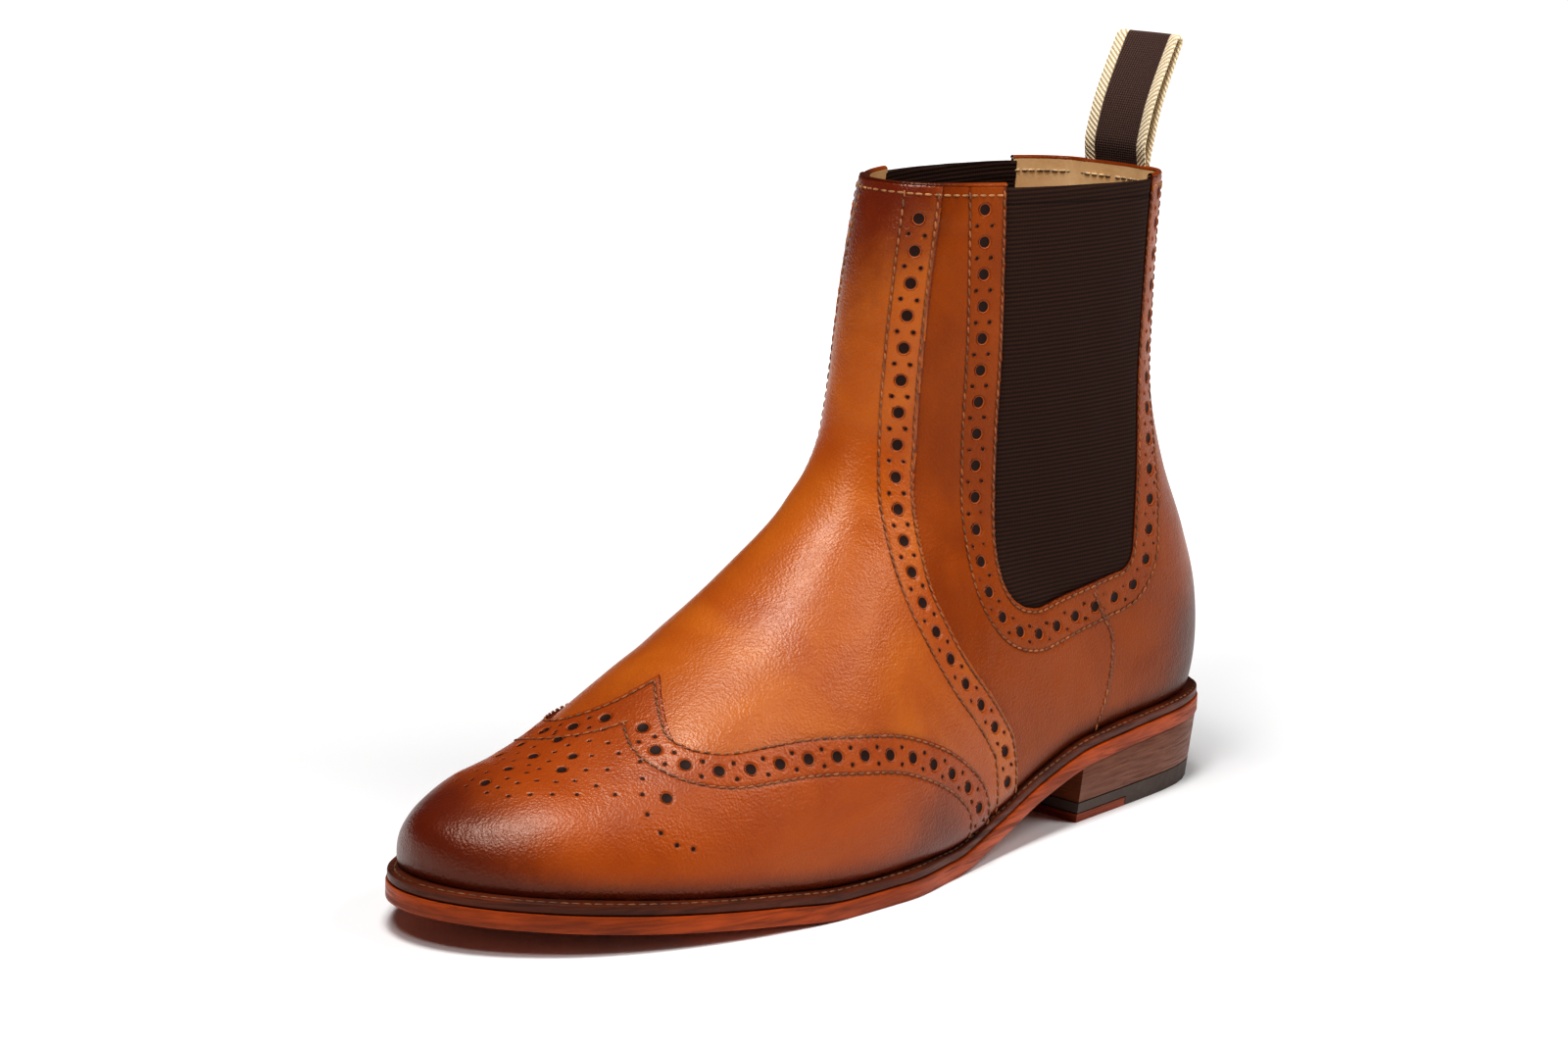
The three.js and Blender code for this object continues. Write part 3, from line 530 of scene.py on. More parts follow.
def over_welt(points):
    return points[:, 2] - welt_top(points[:, 0]) - WELT_TRIM


def under_collar(points):
    return collar_height(points[:, 0]) - COLLAR_TRIM - points[:, 2]


def in_cap(points):
    """Ahead of the peak seen from above, or under the wings beside it."""
    size = [SOLE_LENGTH, BALL_WIDTH]
    line = np.concatenate([spline(PEAK_LEFT, 24), spline(PEAK_RIGHT, 24)[1:]]) * size
    outline = [[2 * FAR, FAR], [line[0][0], FAR], *line, [line[-1][0], -FAR], [2 * FAR, -FAR]]
    result = signed_distance(points[:, :2], np.array(outline))
    for wing, side in ((WING_LEFT, 1), (WING_RIGHT, -1)):
        edge = side_curve(wing)
        outline = [*edge, [edge[-1][0], -FAR], [2 * FAR, -FAR], [2 * FAR, edge[0][1]]]
        under = signed_distance(points[:, [0, 2]], np.array(outline))
        beyond = side * points[:, 1] - WING_START * BALL_WIDTH
        result = np.maximum(result, np.minimum(under, beyond))
    return result


def beside_gore(points):
    return points[:, 2] > LEG_FLOOR + GORE_RISE_BACK


def is_behind(points):
    """Whether points of the quarters lie on the back one."""
    return (ahead_of_seam(points) < 0) | ((points[:, 0] < GORE_MIDDLE) & beside_gore(points))


def leather_face(points):
    """How far the outer leather stands off the surface."""
    quarters = np.where(is_behind(points), BACK_FACE, QUARTER_FACE)
    return np.where(in_vamp(points) > 0, VAMP_FACE, quarters)


# Meshes as arrays of points, normals and triangles
def quads(grid):
    """Four-cornered faces between neighbouring rows and columns of point numbers."""
    corners = [grid[:-1, :-1], grid[:-1, 1:], grid[1:, 1:], grid[1:, :-1]]
    return np.stack(corners, -1).reshape(-1, 4)


def closed(grid):
    """A grid with its first column again at the end, so that each row is a ring."""
    return np.concatenate([grid, grid[:, :1]], 1)


def triangles(faces):
    return np.concatenate([faces[:, [0, 1, 2]], faces[:, [0, 2, 3]]])


def fan(ring, middle):
    return np.stack([ring, np.roll(ring, -1), np.full(len(ring), middle)], 1)


def first_marked(faces, marked):
    """Turns each face so that its first marked corner comes first."""
    turn = np.argmax(marked[faces], 1)
    return np.take_along_axis(faces, (turn[:, None] + np.arange(3)) % 3, 1)


def edge_keys(edges, size):
    low, high = np.sort(edges, 1).T
    return low.astype(np.int64) * size + high


class Sheet:
    def __init__(self, points, normal, faces):
        self.points, self.normal, self.faces = points, normal, faces

    def keep(self, field):
        """Cuts the sheet along field = 0 and keeps the side where it is positive."""
        inside = field > 0
        count = inside[self.faces].sum(1)
        one = first_marked(self.faces[count == 1], inside)
        two = first_marked(self.faces[count == 2], ~inside)
        ends = np.concatenate([one[:, [0, 1]], one[:, [0, 2]], two[:, [1, 0]], two[:, [2, 0]]])
        size = len(self.points)
        unique, back = np.unique(edge_keys(ends, size), return_inverse=True)
        a, b = unique // size, unique % size
        share = np.clip(field[a] / (field[a] - field[b] + 1e-12), 0, 1)[:, None]
        points = self.points[a] * (1 - share) + self.points[b] * share
        normal = unit(self.normal[a] * (1 - share) + self.normal[b] * share)
        n, m = len(one), len(two)
        first, second, third, fourth = np.split(back + size, [n, 2 * n, 2 * n + m])
        faces = [
            self.faces[count == 3],
            np.stack([one[:, 0], first, second], 1),
            np.stack([two[:, 1], two[:, 2], fourth], 1),
            np.stack([two[:, 1], fourth, third], 1),
        ]
        return Sheet(
            np.concatenate([self.points, points]),
            np.concatenate([self.normal, normal]),
            np.concatenate(faces),
        ).tidy()

    def tidy(self):
        """Drops needle faces and points that no face uses."""
        a, b, c = (self.points[self.faces[:, k]] for k in range(3))
        area = np.linalg.norm(np.cross(b - a, c - a), axis=1)
        used, new = np.unique(self.faces[area > 1e-7], return_inverse=True)
        return Sheet(self.points[used], self.normal[used], new.reshape(-1, 3))

    def border(self):
        """The edges that only one face has, in that face's direction."""
        f = self.faces
        edges = np.concatenate([f[:, [0, 1]], f[:, [1, 2]], f[:, [2, 0]]])
        keys = edge_keys(edges, len(self.points))
        _, first, count = np.unique(keys, return_index=True, return_counts=True)
        return edges[first[count == 1]]

    def with_rim(self, depth, soften):
        """The sheet with its cut edges turned down by a depth, softened at the fold."""
        edges = self.border()
        rim = np.unique(edges)
        number = np.full(len(self.points), -1)
        number[rim] = np.arange(len(rim)) + len(self.points)
        points = self.points.copy()
        points[rim] -= self.normal[rim] * soften
        low = points[rim] - self.normal[rim] * depth
        a, b = edges.T
        sides = [np.stack([b, a, number[a]], 1), np.stack([b, number[a], number[b]], 1)]
        return Sheet(
            np.concatenate([points, low]),
            np.concatenate([self.normal, self.normal[rim]]),
            np.concatenate([self.faces, *sides]),
        )

    def thick(self, depth, soften):
        """The sheet as a closed slab."""
        edges = self.border()
        rim = np.unique(edges)
        points = self.points.copy()
        inner = points - self.normal * depth
        points[rim] -= self.normal[rim] * soften
        inner[rim] += self.normal[rim] * soften
        start = len(points)
        a, b = edges.T
        sides = [np.stack([b, a, a + start], 1), np.stack([b, a + start, b + start], 1)]
        return Sheet(
            np.concatenate([points, inner]),
            np.concatenate([self.normal, -self.normal]),
            np.concatenate([self.faces, self.faces[:, ::-1] + start, *sides]),
        )


def skin(offset, start, end, cell, around):
    """A fine sheet over the upper between two sections, at an offset from its surface."""
    fine = np.linspace(start, end, 600)
    steps = np.zeros(len(fine) - 1)
    for angle in (0.02, 0.5, 1.2, -1.2, 2.2, 3.1):
        steps = np.maximum(steps, np.diff(run_along(surface(fine, angle))))
    run = np.concatenate([[0], np.cumsum(steps)])
    rows = np.interp(np.linspace(0, run[-1], int(run[-1] / cell) + 1), run, fine)
    dense = np.linspace(-np.pi, np.pi, 721)
    angles = np.empty((len(rows), around))
    for i, row in enumerate(rows):
        length = run_along(surface(row, dense))
        angles[i] = np.interp(np.linspace(0, length[-1], around + 1)[:-1], length, dense)
    along = np.repeat(rows[:, None], around, 1)
    normal = normals(along, angles)
    points = (surface(along, angles) + normal * offset).reshape(-1, 3)
    normal = normal.reshape(-1, 3)
    faces = triangles(quads(closed(np.arange(len(points)).reshape(-1, around))))
    if start == 0:
        faces = np.concatenate([faces, fan(np.arange(around), len(points))[:, [1, 0, 2]]])
        points = np.concatenate([points, points[:around].mean(0)[None]])
        normal = np.concatenate([normal, unit(normal[:around].mean(0))[None]])
    return Sheet(points, normal, faces)


def distance_to(points, path, reach=6.0):
    """Distance of points to a line of points close together, up to a reach."""
    best = np.full(len(points), reach)
    for start in range(0, len(points), SKIN_BATCH):
        part = points[start : start + SKIN_BATCH]
        gap = np.full(len(part), reach)
        for p, q in zip(path[:-1], path[1:]):
            near = np.abs(part - (p + q) / 2).max(1) < reach + 2
            if not near.any():
                continue
            edge = q - p
            rel = part[near] - p
            s = np.clip((rel @ edge) / max(edge @ edge, 1e-12), 0, 1)
            gap[near] = np.minimum(gap[near], np.linalg.norm(rel - s[:, None] * edge, axis=1))
        best[start : start + SKIN_BATCH] = gap
    return best


def distance_to_holes(points, holes):
    """Signed distance to the nearest hole's edge, negative inside it."""
    best = np.empty(len(points))
    centre, radius = holes[:, :3].astype(np.float32), holes[:, 3].astype(np.float32)
    for start in range(0, len(points), HOLE_BATCH):
        part = points[start : start + HOLE_BATCH].astype(np.float32)
        gap = np.linalg.norm(part[:, None] - centre[None], axis=2) - radius[None]
        best[start : start + HOLE_BATCH] = np.minimum(gap.min(1), NO_HOLE)
    return best


# Lines of the panels, the places of holes and stitches
def both_sides(line):
    return {side: locate(line, [0, 2], side) for side in (1, -1)}


def vamp_edges():
    lines = both_sides(side_curve(VAMP_EDGE, 120))
    for side, line in lines.items():
        x, _, z = surface(*line.T).T
        lines[side] = line[(z < collar_height(x) + 1) & (z > welt_top(x) - 2)]
    return lines


def gore_edges():
    edge = gore_outline(0)
    edge = edge[edge[:, 1] < COLLAR_FRONT + 0.5]
    edge = np.concatenate([[[GORE_FRONT, COLLAR_FRONT - 0.5]], edge])
    run = run_along(edge)
    return both_sides(resampled(edge, run, np.linspace(0, run[-1], 200)))


def cap_edge(wing, peak, side):
    """The cap's edge on one side, from its peak round to the rear end of the wing."""
    first = locate(spline(peak, 60)[::-side] * [SOLE_LENGTH, BALL_WIDTH], [0, 1], side)
    second = locate(side_curve(wing, 160), [0, 2], side)
    a, b = surface(*first.T), surface(*second.T)
    gap = np.linalg.norm(a[:, None] - b[None], axis=2)
    i, j = np.unravel_index(np.argmin(gap), gap.shape)
    over = b[j:, 2] > welt_top(b[j:, 0]) - 1
    return np.concatenate([first[:i], second[j:][over]])


def inner_rows(paths, distance):
    """A row inside a panel's edge on both sides, clear of every edge of the panel."""
    rows = []
    for side, path in paths.items():
        row = beside(path, -side * distance)
        gap = np.full(len(row), distance + 1)
        for edge in paths.values():
            near = distance_to(surface(*row.T), surface(*edge.T), distance + 1)
            gap = np.minimum(gap, near)
        rows.append(row[gap > 0.9 * distance])
    return rows


def in_panel(holes):
    """Holes that lie on leather, clear of the collar and the welt."""
    return holes[(over_welt(holes) > 1.0) & (under_collar(holes) > 1.5)]


def hole_rows(paths, distance, offset, start, end):
    """Big holes along a row, with a pair of small ones between each two."""
    rows = []
    for inner in inner_rows(paths, distance):
        row = even_steps(inner, HOLE_PITCH / 4)
        points, normal = surface(*row.T), normals(*row.T)
        across = unit(np.cross(normal, np.gradient(points, axis=0)))
        points = points + normal * offset
        for i in range(start, len(points) - end, 2):
            if (i - start) % 4 == 0:
                rows.append([*points[i], BIG_HOLE, *normal[i]])
                continue
            for shift in (-HOLE_PAIR, HOLE_PAIR):
                rows.append([*(points[i] + across[i] * shift), SMALL_HOLE, *normal[i]])
    return np.array(rows)


def toe_pattern():
    rows = []
    for radius, spots in PATTERN.items():
        for forward, out in spots:
            for side in (1, -1) if out else (1,):
                x, y = PATTERN_MIDDLE
                rows.append([x + forward, y + side * out, radius])
    rows = np.array(rows)
    spots = locate(rows[:, :2], [0, 1], 1)
    points, normal = surface(*spots.T), normals(*spots.T)
    found = np.linalg.norm(points[:, :2] - rows[:, :2], axis=1) < 0.5
    found &= points[:, 2] > PATTERN_LOWEST
    return np.concatenate([points + normal * CAP_FACE, rows[:, 2:], normal], 1)[found]


vamp_lines, gore_lines = vamp_edges(), gore_edges()
cap_lines = {1: cap_edge(WING_LEFT, PEAK_LEFT, 1), -1: cap_edge(WING_RIGHT, PEAK_RIGHT, -1)}
seam_lines = both_sides(side_curve(SEAM_LINE, 120))
vamp_rows = inner_rows(vamp_lines, STITCH_EDGE) + inner_rows(vamp_lines, VAMP_STITCH)
gore_rows = inner_rows(gore_lines, STITCH_EDGE) + inner_rows(gore_lines, GORE_STITCH)
cap_rows = inner_rows(cap_lines, STITCH_EDGE) + inner_rows(cap_lines, CAP_STITCH)
seam_rows = inner_rows(seam_lines, SEAM_STITCH)
vamp_holes = in_panel(hole_rows(vamp_lines, VAMP_HOLES, VAMP_FACE, 3, 2))
gore_holes = in_panel(hole_rows(gore_lines, GORE_HOLES, QUARTER_FACE, 3, 3))
cap_row = hole_rows(cap_lines, CAP_HOLES, CAP_FACE, 4, 2)
cap_holes = in_panel(np.concatenate([cap_row, toe_pattern()]))


def crease_lines():
    for points, side, depth, width in CREASES:
        path = even_steps(locate(spline(points, 12), [0, 2], side), LINE_STEP)
        yield surface(*path.T), depth, width


creases = list(crease_lines())


def folded(points):
    """How far creases push the leather out or in."""
    total = np.zeros(len(points))
    for line, depth, width in creases:
        gap = distance_to(points, line, 4 * width)
        total += depth * (hump(gap, 0, width) - 0.45 * hump(gap, 2 * width, width))
    return total


def pressed(sheet, holes, rows, offset):
    """The leather's points with holes, seam grooves and creases pressed in."""
    points = sheet.points
    hole = distance_to_holes(points, holes)
    thread = np.full(len(points), 6.0)
    for path in rows:
        line = surface(*path.T) + normals(*path.T) * offset
        thread = np.minimum(thread, distance_to(points, line))
    over = np.maximum(points[:, 2] - welt_top(points[:, 0]), 0)
    drop = HOLE_LIP * hump(hole, 0.5, 0.4) - HOLE_DEPTH * (1 - smooth(hole, -0.7, 0.15))
    drop -= THREAD_GROOVE * hump(thread, 0, THREAD_GROOVE_WIDTH)
    drop -= WELT_TUCK * hump(over, 0, WELT_TUCK_HEIGHT)
    drop += folded(points)
    return points + sheet.normal * drop[:, None], hole, thread


def polish_and_painted_shade(points):
    """Shares of dark polish over the leather, given in the shoe's own sizes; the shares at the
    collar's and shaft's front and along the welt are painted shade.
    """
    x, y, z = points.T
    up = z - welt_top(x)
    shares = [
        0.85 * smooth(x, 262, 300) + 0.3 * smooth(x, 235, 280) * hump(y, -20, 18),  # toe
        0.7 * hump(x, 157, 20) * (1 - smooth(up, 8, 34)) * smooth(x, 128, 150),  # wing's end
        0.9 * smooth(z, 150, 196) * smooth(x, 118, 140),  # collar's front, painted shade
        0.5 * smooth(z, 110, 165) * smooth(x, 112, 140) * (1 - smooth(y, -4, 26)),  # shaft's front, painted shade
        0.9 * (1 - smooth(x, 10, 52)) * (1 - smooth(up, 18, 60)),  # heel
        0.8 * hump(up, 0, 5.5),  # along the welt, painted shade where the upper meets it
        0.35 * hump(x, 232, 14) * hump(y, 0, 14),  # before the peak
    ]
    return np.clip(1 - np.prod(1 - np.array(shares), 0), 0, 1)


# Objects
def place(points):
    """Points of the boot's frame, in the row frame and in metres."""
    x, y, z = np.asarray(points, float).T
    return np.stack([y - Y_SHIFT, SOLE_LENGTH / 2 - x, z], 1) / 1000


def build(name, points, faces, material, smooth_angle=38, fields=None, replaces=()):
    """A mesh object from arrays, in its place, riding on the boot."""
    mesh = bpy.data.meshes.new(name)
    faces = np.asarray(faces, np.int32)
    mesh.vertices.add(len(points))
    mesh.vertices.foreach_set("co", place(points).astype(np.float32).ravel())
    mesh.loops.add(faces.size)
    mesh.loops.foreach_set("vertex_index", faces.ravel())
    mesh.polygons.add(len(faces))
    starts = np.arange(len(faces), dtype=np.int32) * faces.shape[1]
    mesh.polygons.foreach_set("loop_start", starts)
    mesh.update(calc_edges=True)
    mesh.validate()
    mesh.polygons.foreach_set("use_smooth", np.ones(len(mesh.polygons), bool))
    mesh.set_sharp_from_angle(angle=math.radians(smooth_angle))
    for key, values in (fields or {}).items():
        attribute = mesh.attributes.new(key, "FLOAT", "POINT")
        attribute.data.foreach_set("value", np.asarray(values, np.float32))
    mesh.materials.append(material)
    obj = bpy.data.objects.new(name, mesh)
    bpy.context.scene.collection.objects.link(obj)
    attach(obj, "root")
    if replaces:
        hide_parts(*replaces)
    return obj


# Finishes
def linear(colour):
    """A colour of three bytes as the linear one that the shader takes."""
    shares = [((c / 255 + 0.055) / 1.055) ** 2.4 if c > 10 else c / 3294 for c in colour]
    return (*shares, 1)


class Finish:
    """A material built node by node."""

    def __init__(self, name, **inputs):
        self.material = bpy.data.materials.new(name)
        self.material.use_nodes = True
        self.tree = self.material.node_tree
        self.shader = self.tree.nodes["Principled BSDF"]
        self.shader.inputs["Coat Roughness"].default_value = 0.22
        self.spot = self.add("ShaderNodeTexCoord").outputs["Object"]
        self.shade(**inputs)

    def put(self, socket, value):
        """Sets an input to a value, a colour of three bytes or another node's output."""
        if isinstance(value, bpy.types.NodeSocket):
            self.tree.links.new(value, socket)
        elif socket.type == "RGBA" and len(value) == 3:
            socket.default_value = linear(value)
        else:
            socket.default_value = value

    def shade(self, **inputs):
        """Sets the shader's inputs, with spaces as underscores in their names."""
        for key, value in inputs.items():
            self.put(self.shader.inputs[key.replace("_", " ")], value)

    def add(self, kind, inputs=None, **settings):
        node = self.tree.nodes.new(kind)
        for key, value in settings.items():
            setattr(node, key, value)
        for key, value in (inputs or {}).items():
            self.put(node.inputs[key], value)
        return node

    def stretched(self, stretch):
        if stretch is None:
            return self.spot
        inputs = {"Scale": stretch, "Vector": self.spot}
        return self.add("ShaderNodeMapping", inputs).outputs["Vector"]

    def noise(self, scale, detail=4.0, rough=0.55, stretch=None, distortion=0.0):
        inputs = {"Scale": scale, "Detail": detail, "Roughness": rough}
        inputs |= {"Distortion": distortion, "Vector": self.stretched(stretch)}
        return self.add("ShaderNodeTexNoise", inputs).outputs["Fac"]

    def cells(self, scale, feature="F1"):
        inputs = {"Scale": scale, "Vector": self.spot}
        return self.add("ShaderNodeTexVoronoi", inputs, feature=feature).outputs["Distance"]

    def bands(self, scale, direction, distortion=0.0):
        inputs = {"Scale": scale, "Distortion": distortion, "Vector": self.spot}
        return self.add("ShaderNodeTexWave", inputs, bands_direction=direction).outputs["Fac"]

    def value_of(self, name):
        return self.add("ShaderNodeAttribute", attribute_name=name).outputs["Fac"]

    def math(self, operation, a, b=0.0):
        return self.add("ShaderNodeMath", {0: a, 1: b}, operation=operation).outputs[0]

    def times(self, a, b):
        return self.math("MULTIPLY", a, b)

    def plus(self, a, b):
        return self.math("ADD", a, b)

    def minus(self, a, b):
        return self.math("SUBTRACT", a, b)

    def wave(self, value, pitch):
        return self.math("SINE", self.times(value, 2 * math.pi / pitch))

    def ramp(self, value, low, high, to_low=0.0, to_high=1.0):
        inputs = {"Value": value, "From Min": low, "From Max": high}
        inputs |= {"To Min": to_low, "To Max": to_high}
        node = self.add("ShaderNodeMapRange", inputs, interpolation_type="SMOOTHSTEP")
        return node.outputs["Result"]

    def mix(self, share, a, b):
        inputs = {0: share, 6: a, 7: b}
        return self.add("ShaderNodeMix", inputs, data_type="RGBA").outputs[2]

    def bumps(self, *layers):
        """Height layers as (height, strength, distance in metres), finest last."""
        normal = None
        for height, strength, distance in layers:
            inputs = {"Strength": strength, "Distance": distance, "Height": height}
            if normal is not None:
                inputs["Normal"] = normal
            normal = self.add("ShaderNodeBump", inputs).outputs["Normal"]
        self.shade(Normal=normal)


def leather_finish(name, base, light, dark, gloss_share, tint):
    """Polished calf: a warm ground with cloudy dye, dark polish mixed with painted shade, painted
    shade in the stitch grooves and holes, fine grain and pores.
    """
    f = Finish(name, Coat_Weight=0.04, Specular_IOR_Level=gloss_share, Specular_Tint=(*tint, 1))
    clouds = f.ramp(f.noise(22, 3, 0.6, distortion=0.6), 0.32, 0.68)
    streaks = f.ramp(f.noise(60, 4, 0.65, stretch=(1.0, 0.35, 0.6)), 0.35, 0.75)
    polish_and_shade, hole = f.value_of("polish_and_shade"), f.value_of("hole")
    mottled = f.plus(polish_and_shade, f.times(f.minus(f.noise(130, 5, 0.7), 0.5), 0.35))
    layers = [
        (clouds, light),
        (f.times(streaks, 0.35), base),
        # dark polish, with painted shade where the field carries it
        (f.times(f.ramp(mottled, 0.05, 0.95), f.ramp(polish_and_shade, 0.0, 0.12)), dark),
        # painted shade along the stitch grooves
        (f.ramp(f.value_of("thread"), 0.25, 0.8, 0.6, 0.0), (80, 28, 10)),
        # a darker ring just round each hole, and painted shade inside it
        (f.ramp(hole, 0.0, 0.55, 0.4, 0.0), (104, 42, 14)),
        (f.ramp(hole, -0.35, 0.05, 1.0, 0.0), (44, 22, 14)),
    ]
    ground = base
    for share, colour in layers:
        ground = f.mix(share, ground, colour)
    gloss = f.ramp(f.noise(45, 4, 0.6), 0.3, 0.7, 0.32, 0.42)
    f.shade(Base_Color=ground, Roughness=f.minus(gloss, f.times(polish_and_shade, 0.06)))
    f.bumps(
        (f.noise(75, 3, 0.5), 0.2, 0.0011),
        (f.noise(420, 5, 0.62), 0.35, 0.0004),
        (f.cells(1500, "SMOOTH_F1"), 0.5, 0.00028),
        (f.ramp(f.cells(2600), 0.05, 0.35), 0.25, 0.00012),
    )
    return f.material


def plain_leather(name, base, light, roughness=0.6, grain_scale=1400):
    f = Finish(name)
    tone = f.mix(f.ramp(f.noise(40, 4, 0.6), 0.3, 0.7), base, light)
    fine = f.noise(600, 4, 0.7)
    f.shade(Base_Color=f.mix(f.times(fine, 0.25), tone, (110, 70, 45)))
    f.shade(Roughness=f.ramp(fine, 0.3, 0.7, roughness - 0.08, roughness + 0.1))
    grain = f.cells(grain_scale, "SMOOTH_F1")
    f.bumps((f.noise(120, 3), 0.2, 0.0006), (grain, 0.25, 0.00015))
    return f.material


def edge_finish(name, base, dark, along_scale, roughness=0.42):
    """A trimmed sole edge: long streaks of stain and fine trimming lines."""
    f = Finish(name, Coat_Weight=0.05, Specular_IOR_Level=0.18)
    streaks = f.noise(along_scale, 6, 0.62, stretch=(0.5, 0.5, 7.0), distortion=0.5)
    blotch = f.noise(38, 3, 0.6, stretch=(0.6, 0.6, 2.0))
    tone = f.mix(f.ramp(streaks, 0.3, 0.72), base, dark)
    f.shade(Base_Color=f.mix(f.ramp(blotch, 0.45, 0.75, 0.0, 0.55), tone, dark))
    f.shade(Roughness=f.ramp(streaks, 0.3, 0.75, roughness - 0.1, roughness + 0.15))
    f.bumps((blotch, 0.2, 0.0008), (streaks, 0.45, 0.0004), (f.noise(900, 3), 0.15, 0.0001))
    return f.material


def thread_finish(name, colour):
    f = Finish(name, Roughness=0.7)
    dark = tuple(c * 0.6 for c in colour)
    f.shade(Base_Color=f.mix(f.ramp(f.noise(300, 3), 0.3, 0.7), colour, dark))
    f.bumps((f.bands(900, "DIAGONAL"), 0.4, 0.0001))
    return f.material


def punched_finish():
    """The wall of a hole is raw leather that darkens with depth, its floor dark: painted shade
    inside the hole.
    """
    f = Finish("punched_leather_painted_shade", Roughness=0.6, Specular_IOR_Level=0.15)
    f.shade(Base_Color=f.mix(f.ramp(f.value_of("dark"), 0.2, 1.0), (170, 84, 38), (38, 18, 11)))
    return f.material


def elastic_finish():
    """Ribbed elastic: fine cords lying across, with a woven hem near the top."""
    f = Finish("elastic_cloth", Roughness=0.85, Specular_IOR_Level=0.12)
    ribs = f.wave(f.value_of("rise"), ELASTIC_RIB)
    weave = f.noise(1500, 3, 0.6, stretch=(1.0, 1.0, 0.4))
    hem = f.math("ABSOLUTE", f.minus(f.value_of("drop"), HEM_DROP))
    tone = f.mix(f.ramp(ribs, -0.9, 0.7), (33, 19, 14), (56, 34, 25))
    tone = f.mix(f.times(weave, 0.4), tone, (38, 21, 14))
    f.shade(Base_Color=f.mix(f.ramp(hem, 0.0, 0.5, 0.75, 0.0), tone, (20, 12, 9)))
    f.bumps((ribs, 0.4, 0.0002), (f.bands(330, "Y", 1.5), 0.25, 0.00015), (weave, 0.3, 0.0001))
    return f.material


def webbing_finish():
    """Loop webbing: dark ribbed middle and cream twill edges."""
    f = Finish("loop_webbing", Roughness=0.85)
    across, along = f.value_of("across"), f.value_of("run")
    side = f.math("ABSOLUTE", across)
    twill = f.wave(f.plus(along, f.times(side, 0.9)), TWILL_PITCH)
    rib = f.wave(f.plus(across, f.times(along, 0.12)), RIB_PITCH)
    weft = f.wave(along, WEFT_PITCH)
    cream = f.mix(f.ramp(twill, -1.1, 0.3), (196, 166, 124), (240, 224, 194))
    brown = f.mix(f.ramp(rib, -0.8, 0.8), (32, 17, 12), (86, 52, 38))
    brown = f.mix(f.ramp(weft, 0.0, 1.0, 0.0, 0.3), brown, (34, 20, 15))
    edge = f.ramp(side, LOOP_WIDTH / 2 - 3.9, LOOP_WIDTH / 2 - 3.3)
    f.shade(Base_Color=f.mix(edge, brown, cream))
    middle = f.times(f.plus(rib, f.times(weft, 0.5)), 0.5)
    relief = f.add("ShaderNodeMix", {0: edge, 2: middle, 3: twill}).outputs[0]
    f.bumps((relief, 0.6, 0.0003), (f.noise(1200, 3), 0.2, 0.0001))
    return f.material


vamp_finish = leather_finish(
    "vamp_calf", (158, 70, 8), (180, 94, 18), (96, 29, 5), 0.42, (1.0, 0.92, 0.82)
)
# The quarters take a darker copy of the calf: painted shade for their upright sides.
quarter_shaded_finish = leather_finish(
    "quarter_calf_shaded_copy", (126, 51, 4), (144, 64, 8), (70, 22, 4), 0.2, (1.0, 0.74, 0.5)
)
cap_finish = leather_finish(
    "cap_calf", (142, 56, 4), (162, 72, 9), (92, 28, 5), 0.42, (1.0, 0.86, 0.72)
)
lining_finish = plain_leather("lining_calf", (236, 184, 126), (248, 208, 156), 0.62)
insole_finish = plain_leather("insole_calf", (176, 124, 82), (196, 146, 100))
rubber_finish = plain_leather("heel_rubber", (58, 48, 44), (70, 60, 54), 0.72, 900)
welt_finish = edge_finish("welt_stain", (98, 42, 19), (60, 25, 11), 130)
outsole_finish = edge_finish("outsole_edge", (180, 74, 14), (112, 44, 13), 110)
stack_finish = edge_finish("stacked_leather", (124, 70, 42), (92, 48, 28), 160, 0.45)
tip_finish = edge_finish("tip_leather", (150, 62, 22), (104, 40, 14), 120, 0.45)
thread_brown = thread_finish("thread_brown", (164, 98, 52))
thread_light = thread_finish("thread_light", (190, 132, 78))
thread_cream = thread_finish("thread_cream", (236, 208, 166))
thread_welt = thread_finish("thread_welt", (128, 84, 52))
hole_finish = punched_finish()
elastic = elastic_finish()
webbing = webbing_finish()


# Leather panels
def panel(offset, start, end, cell, around, *fields):
    sheet = skin(offset, start, end, cell, around)
    for field in (over_welt, under_collar, *fields):
        sheet = sheet.keep(field(sheet.points))
    return sheet


def leather(name, sheet, finish, holes, rows, offset, replaces=()):
    """A panel with its holes and grooves pressed in and its edges turned down and darkened."""
    points, hole, thread = pressed(sheet, holes, rows, offset)
    is_cap = "wing_cap" in replaces
    depth, slot = (CAP_EDGE_DEPTH, "cap_leather") if is_cap else (EDGE_DEPTH, "tan_leather")
    rim = Sheet(points, sheet.normal, sheet.faces).with_rim(depth, EDGE_SOFTNESS)
    extra = len(rim.points) - len(points)
    # Dark polish with painted shade from the field; the turned-down rim and the cut edges take
    # full dark polish.
    polish_and_shade = polish_and_painted_shade(rim.points)
    polish_and_shade[len(points) :] = 1
    polish_and_shade[np.unique(sheet.border())] = 1
    fields = {
        "hole": np.concatenate([hole, np.full(extra, NO_HOLE)]),
        "thread": np.concatenate([thread, np.full(extra, NO_THREAD)]),
        "polish_and_shade": polish_and_shade,
    }
    build(name, rim.points, rim.faces, finish, 50, fields, replaces)


def vamp():
    def under_cap(p):
        return VAMP_UNDER_CAP - in_cap(p)

    sheet = panel(VAMP_FACE, 5.0, SKIN_END, 0.85, 330, in_vamp, under_cap)
    leather("vamp", sheet, vamp_finish, vamp_holes, vamp_rows, VAMP_FACE, ["upper"])


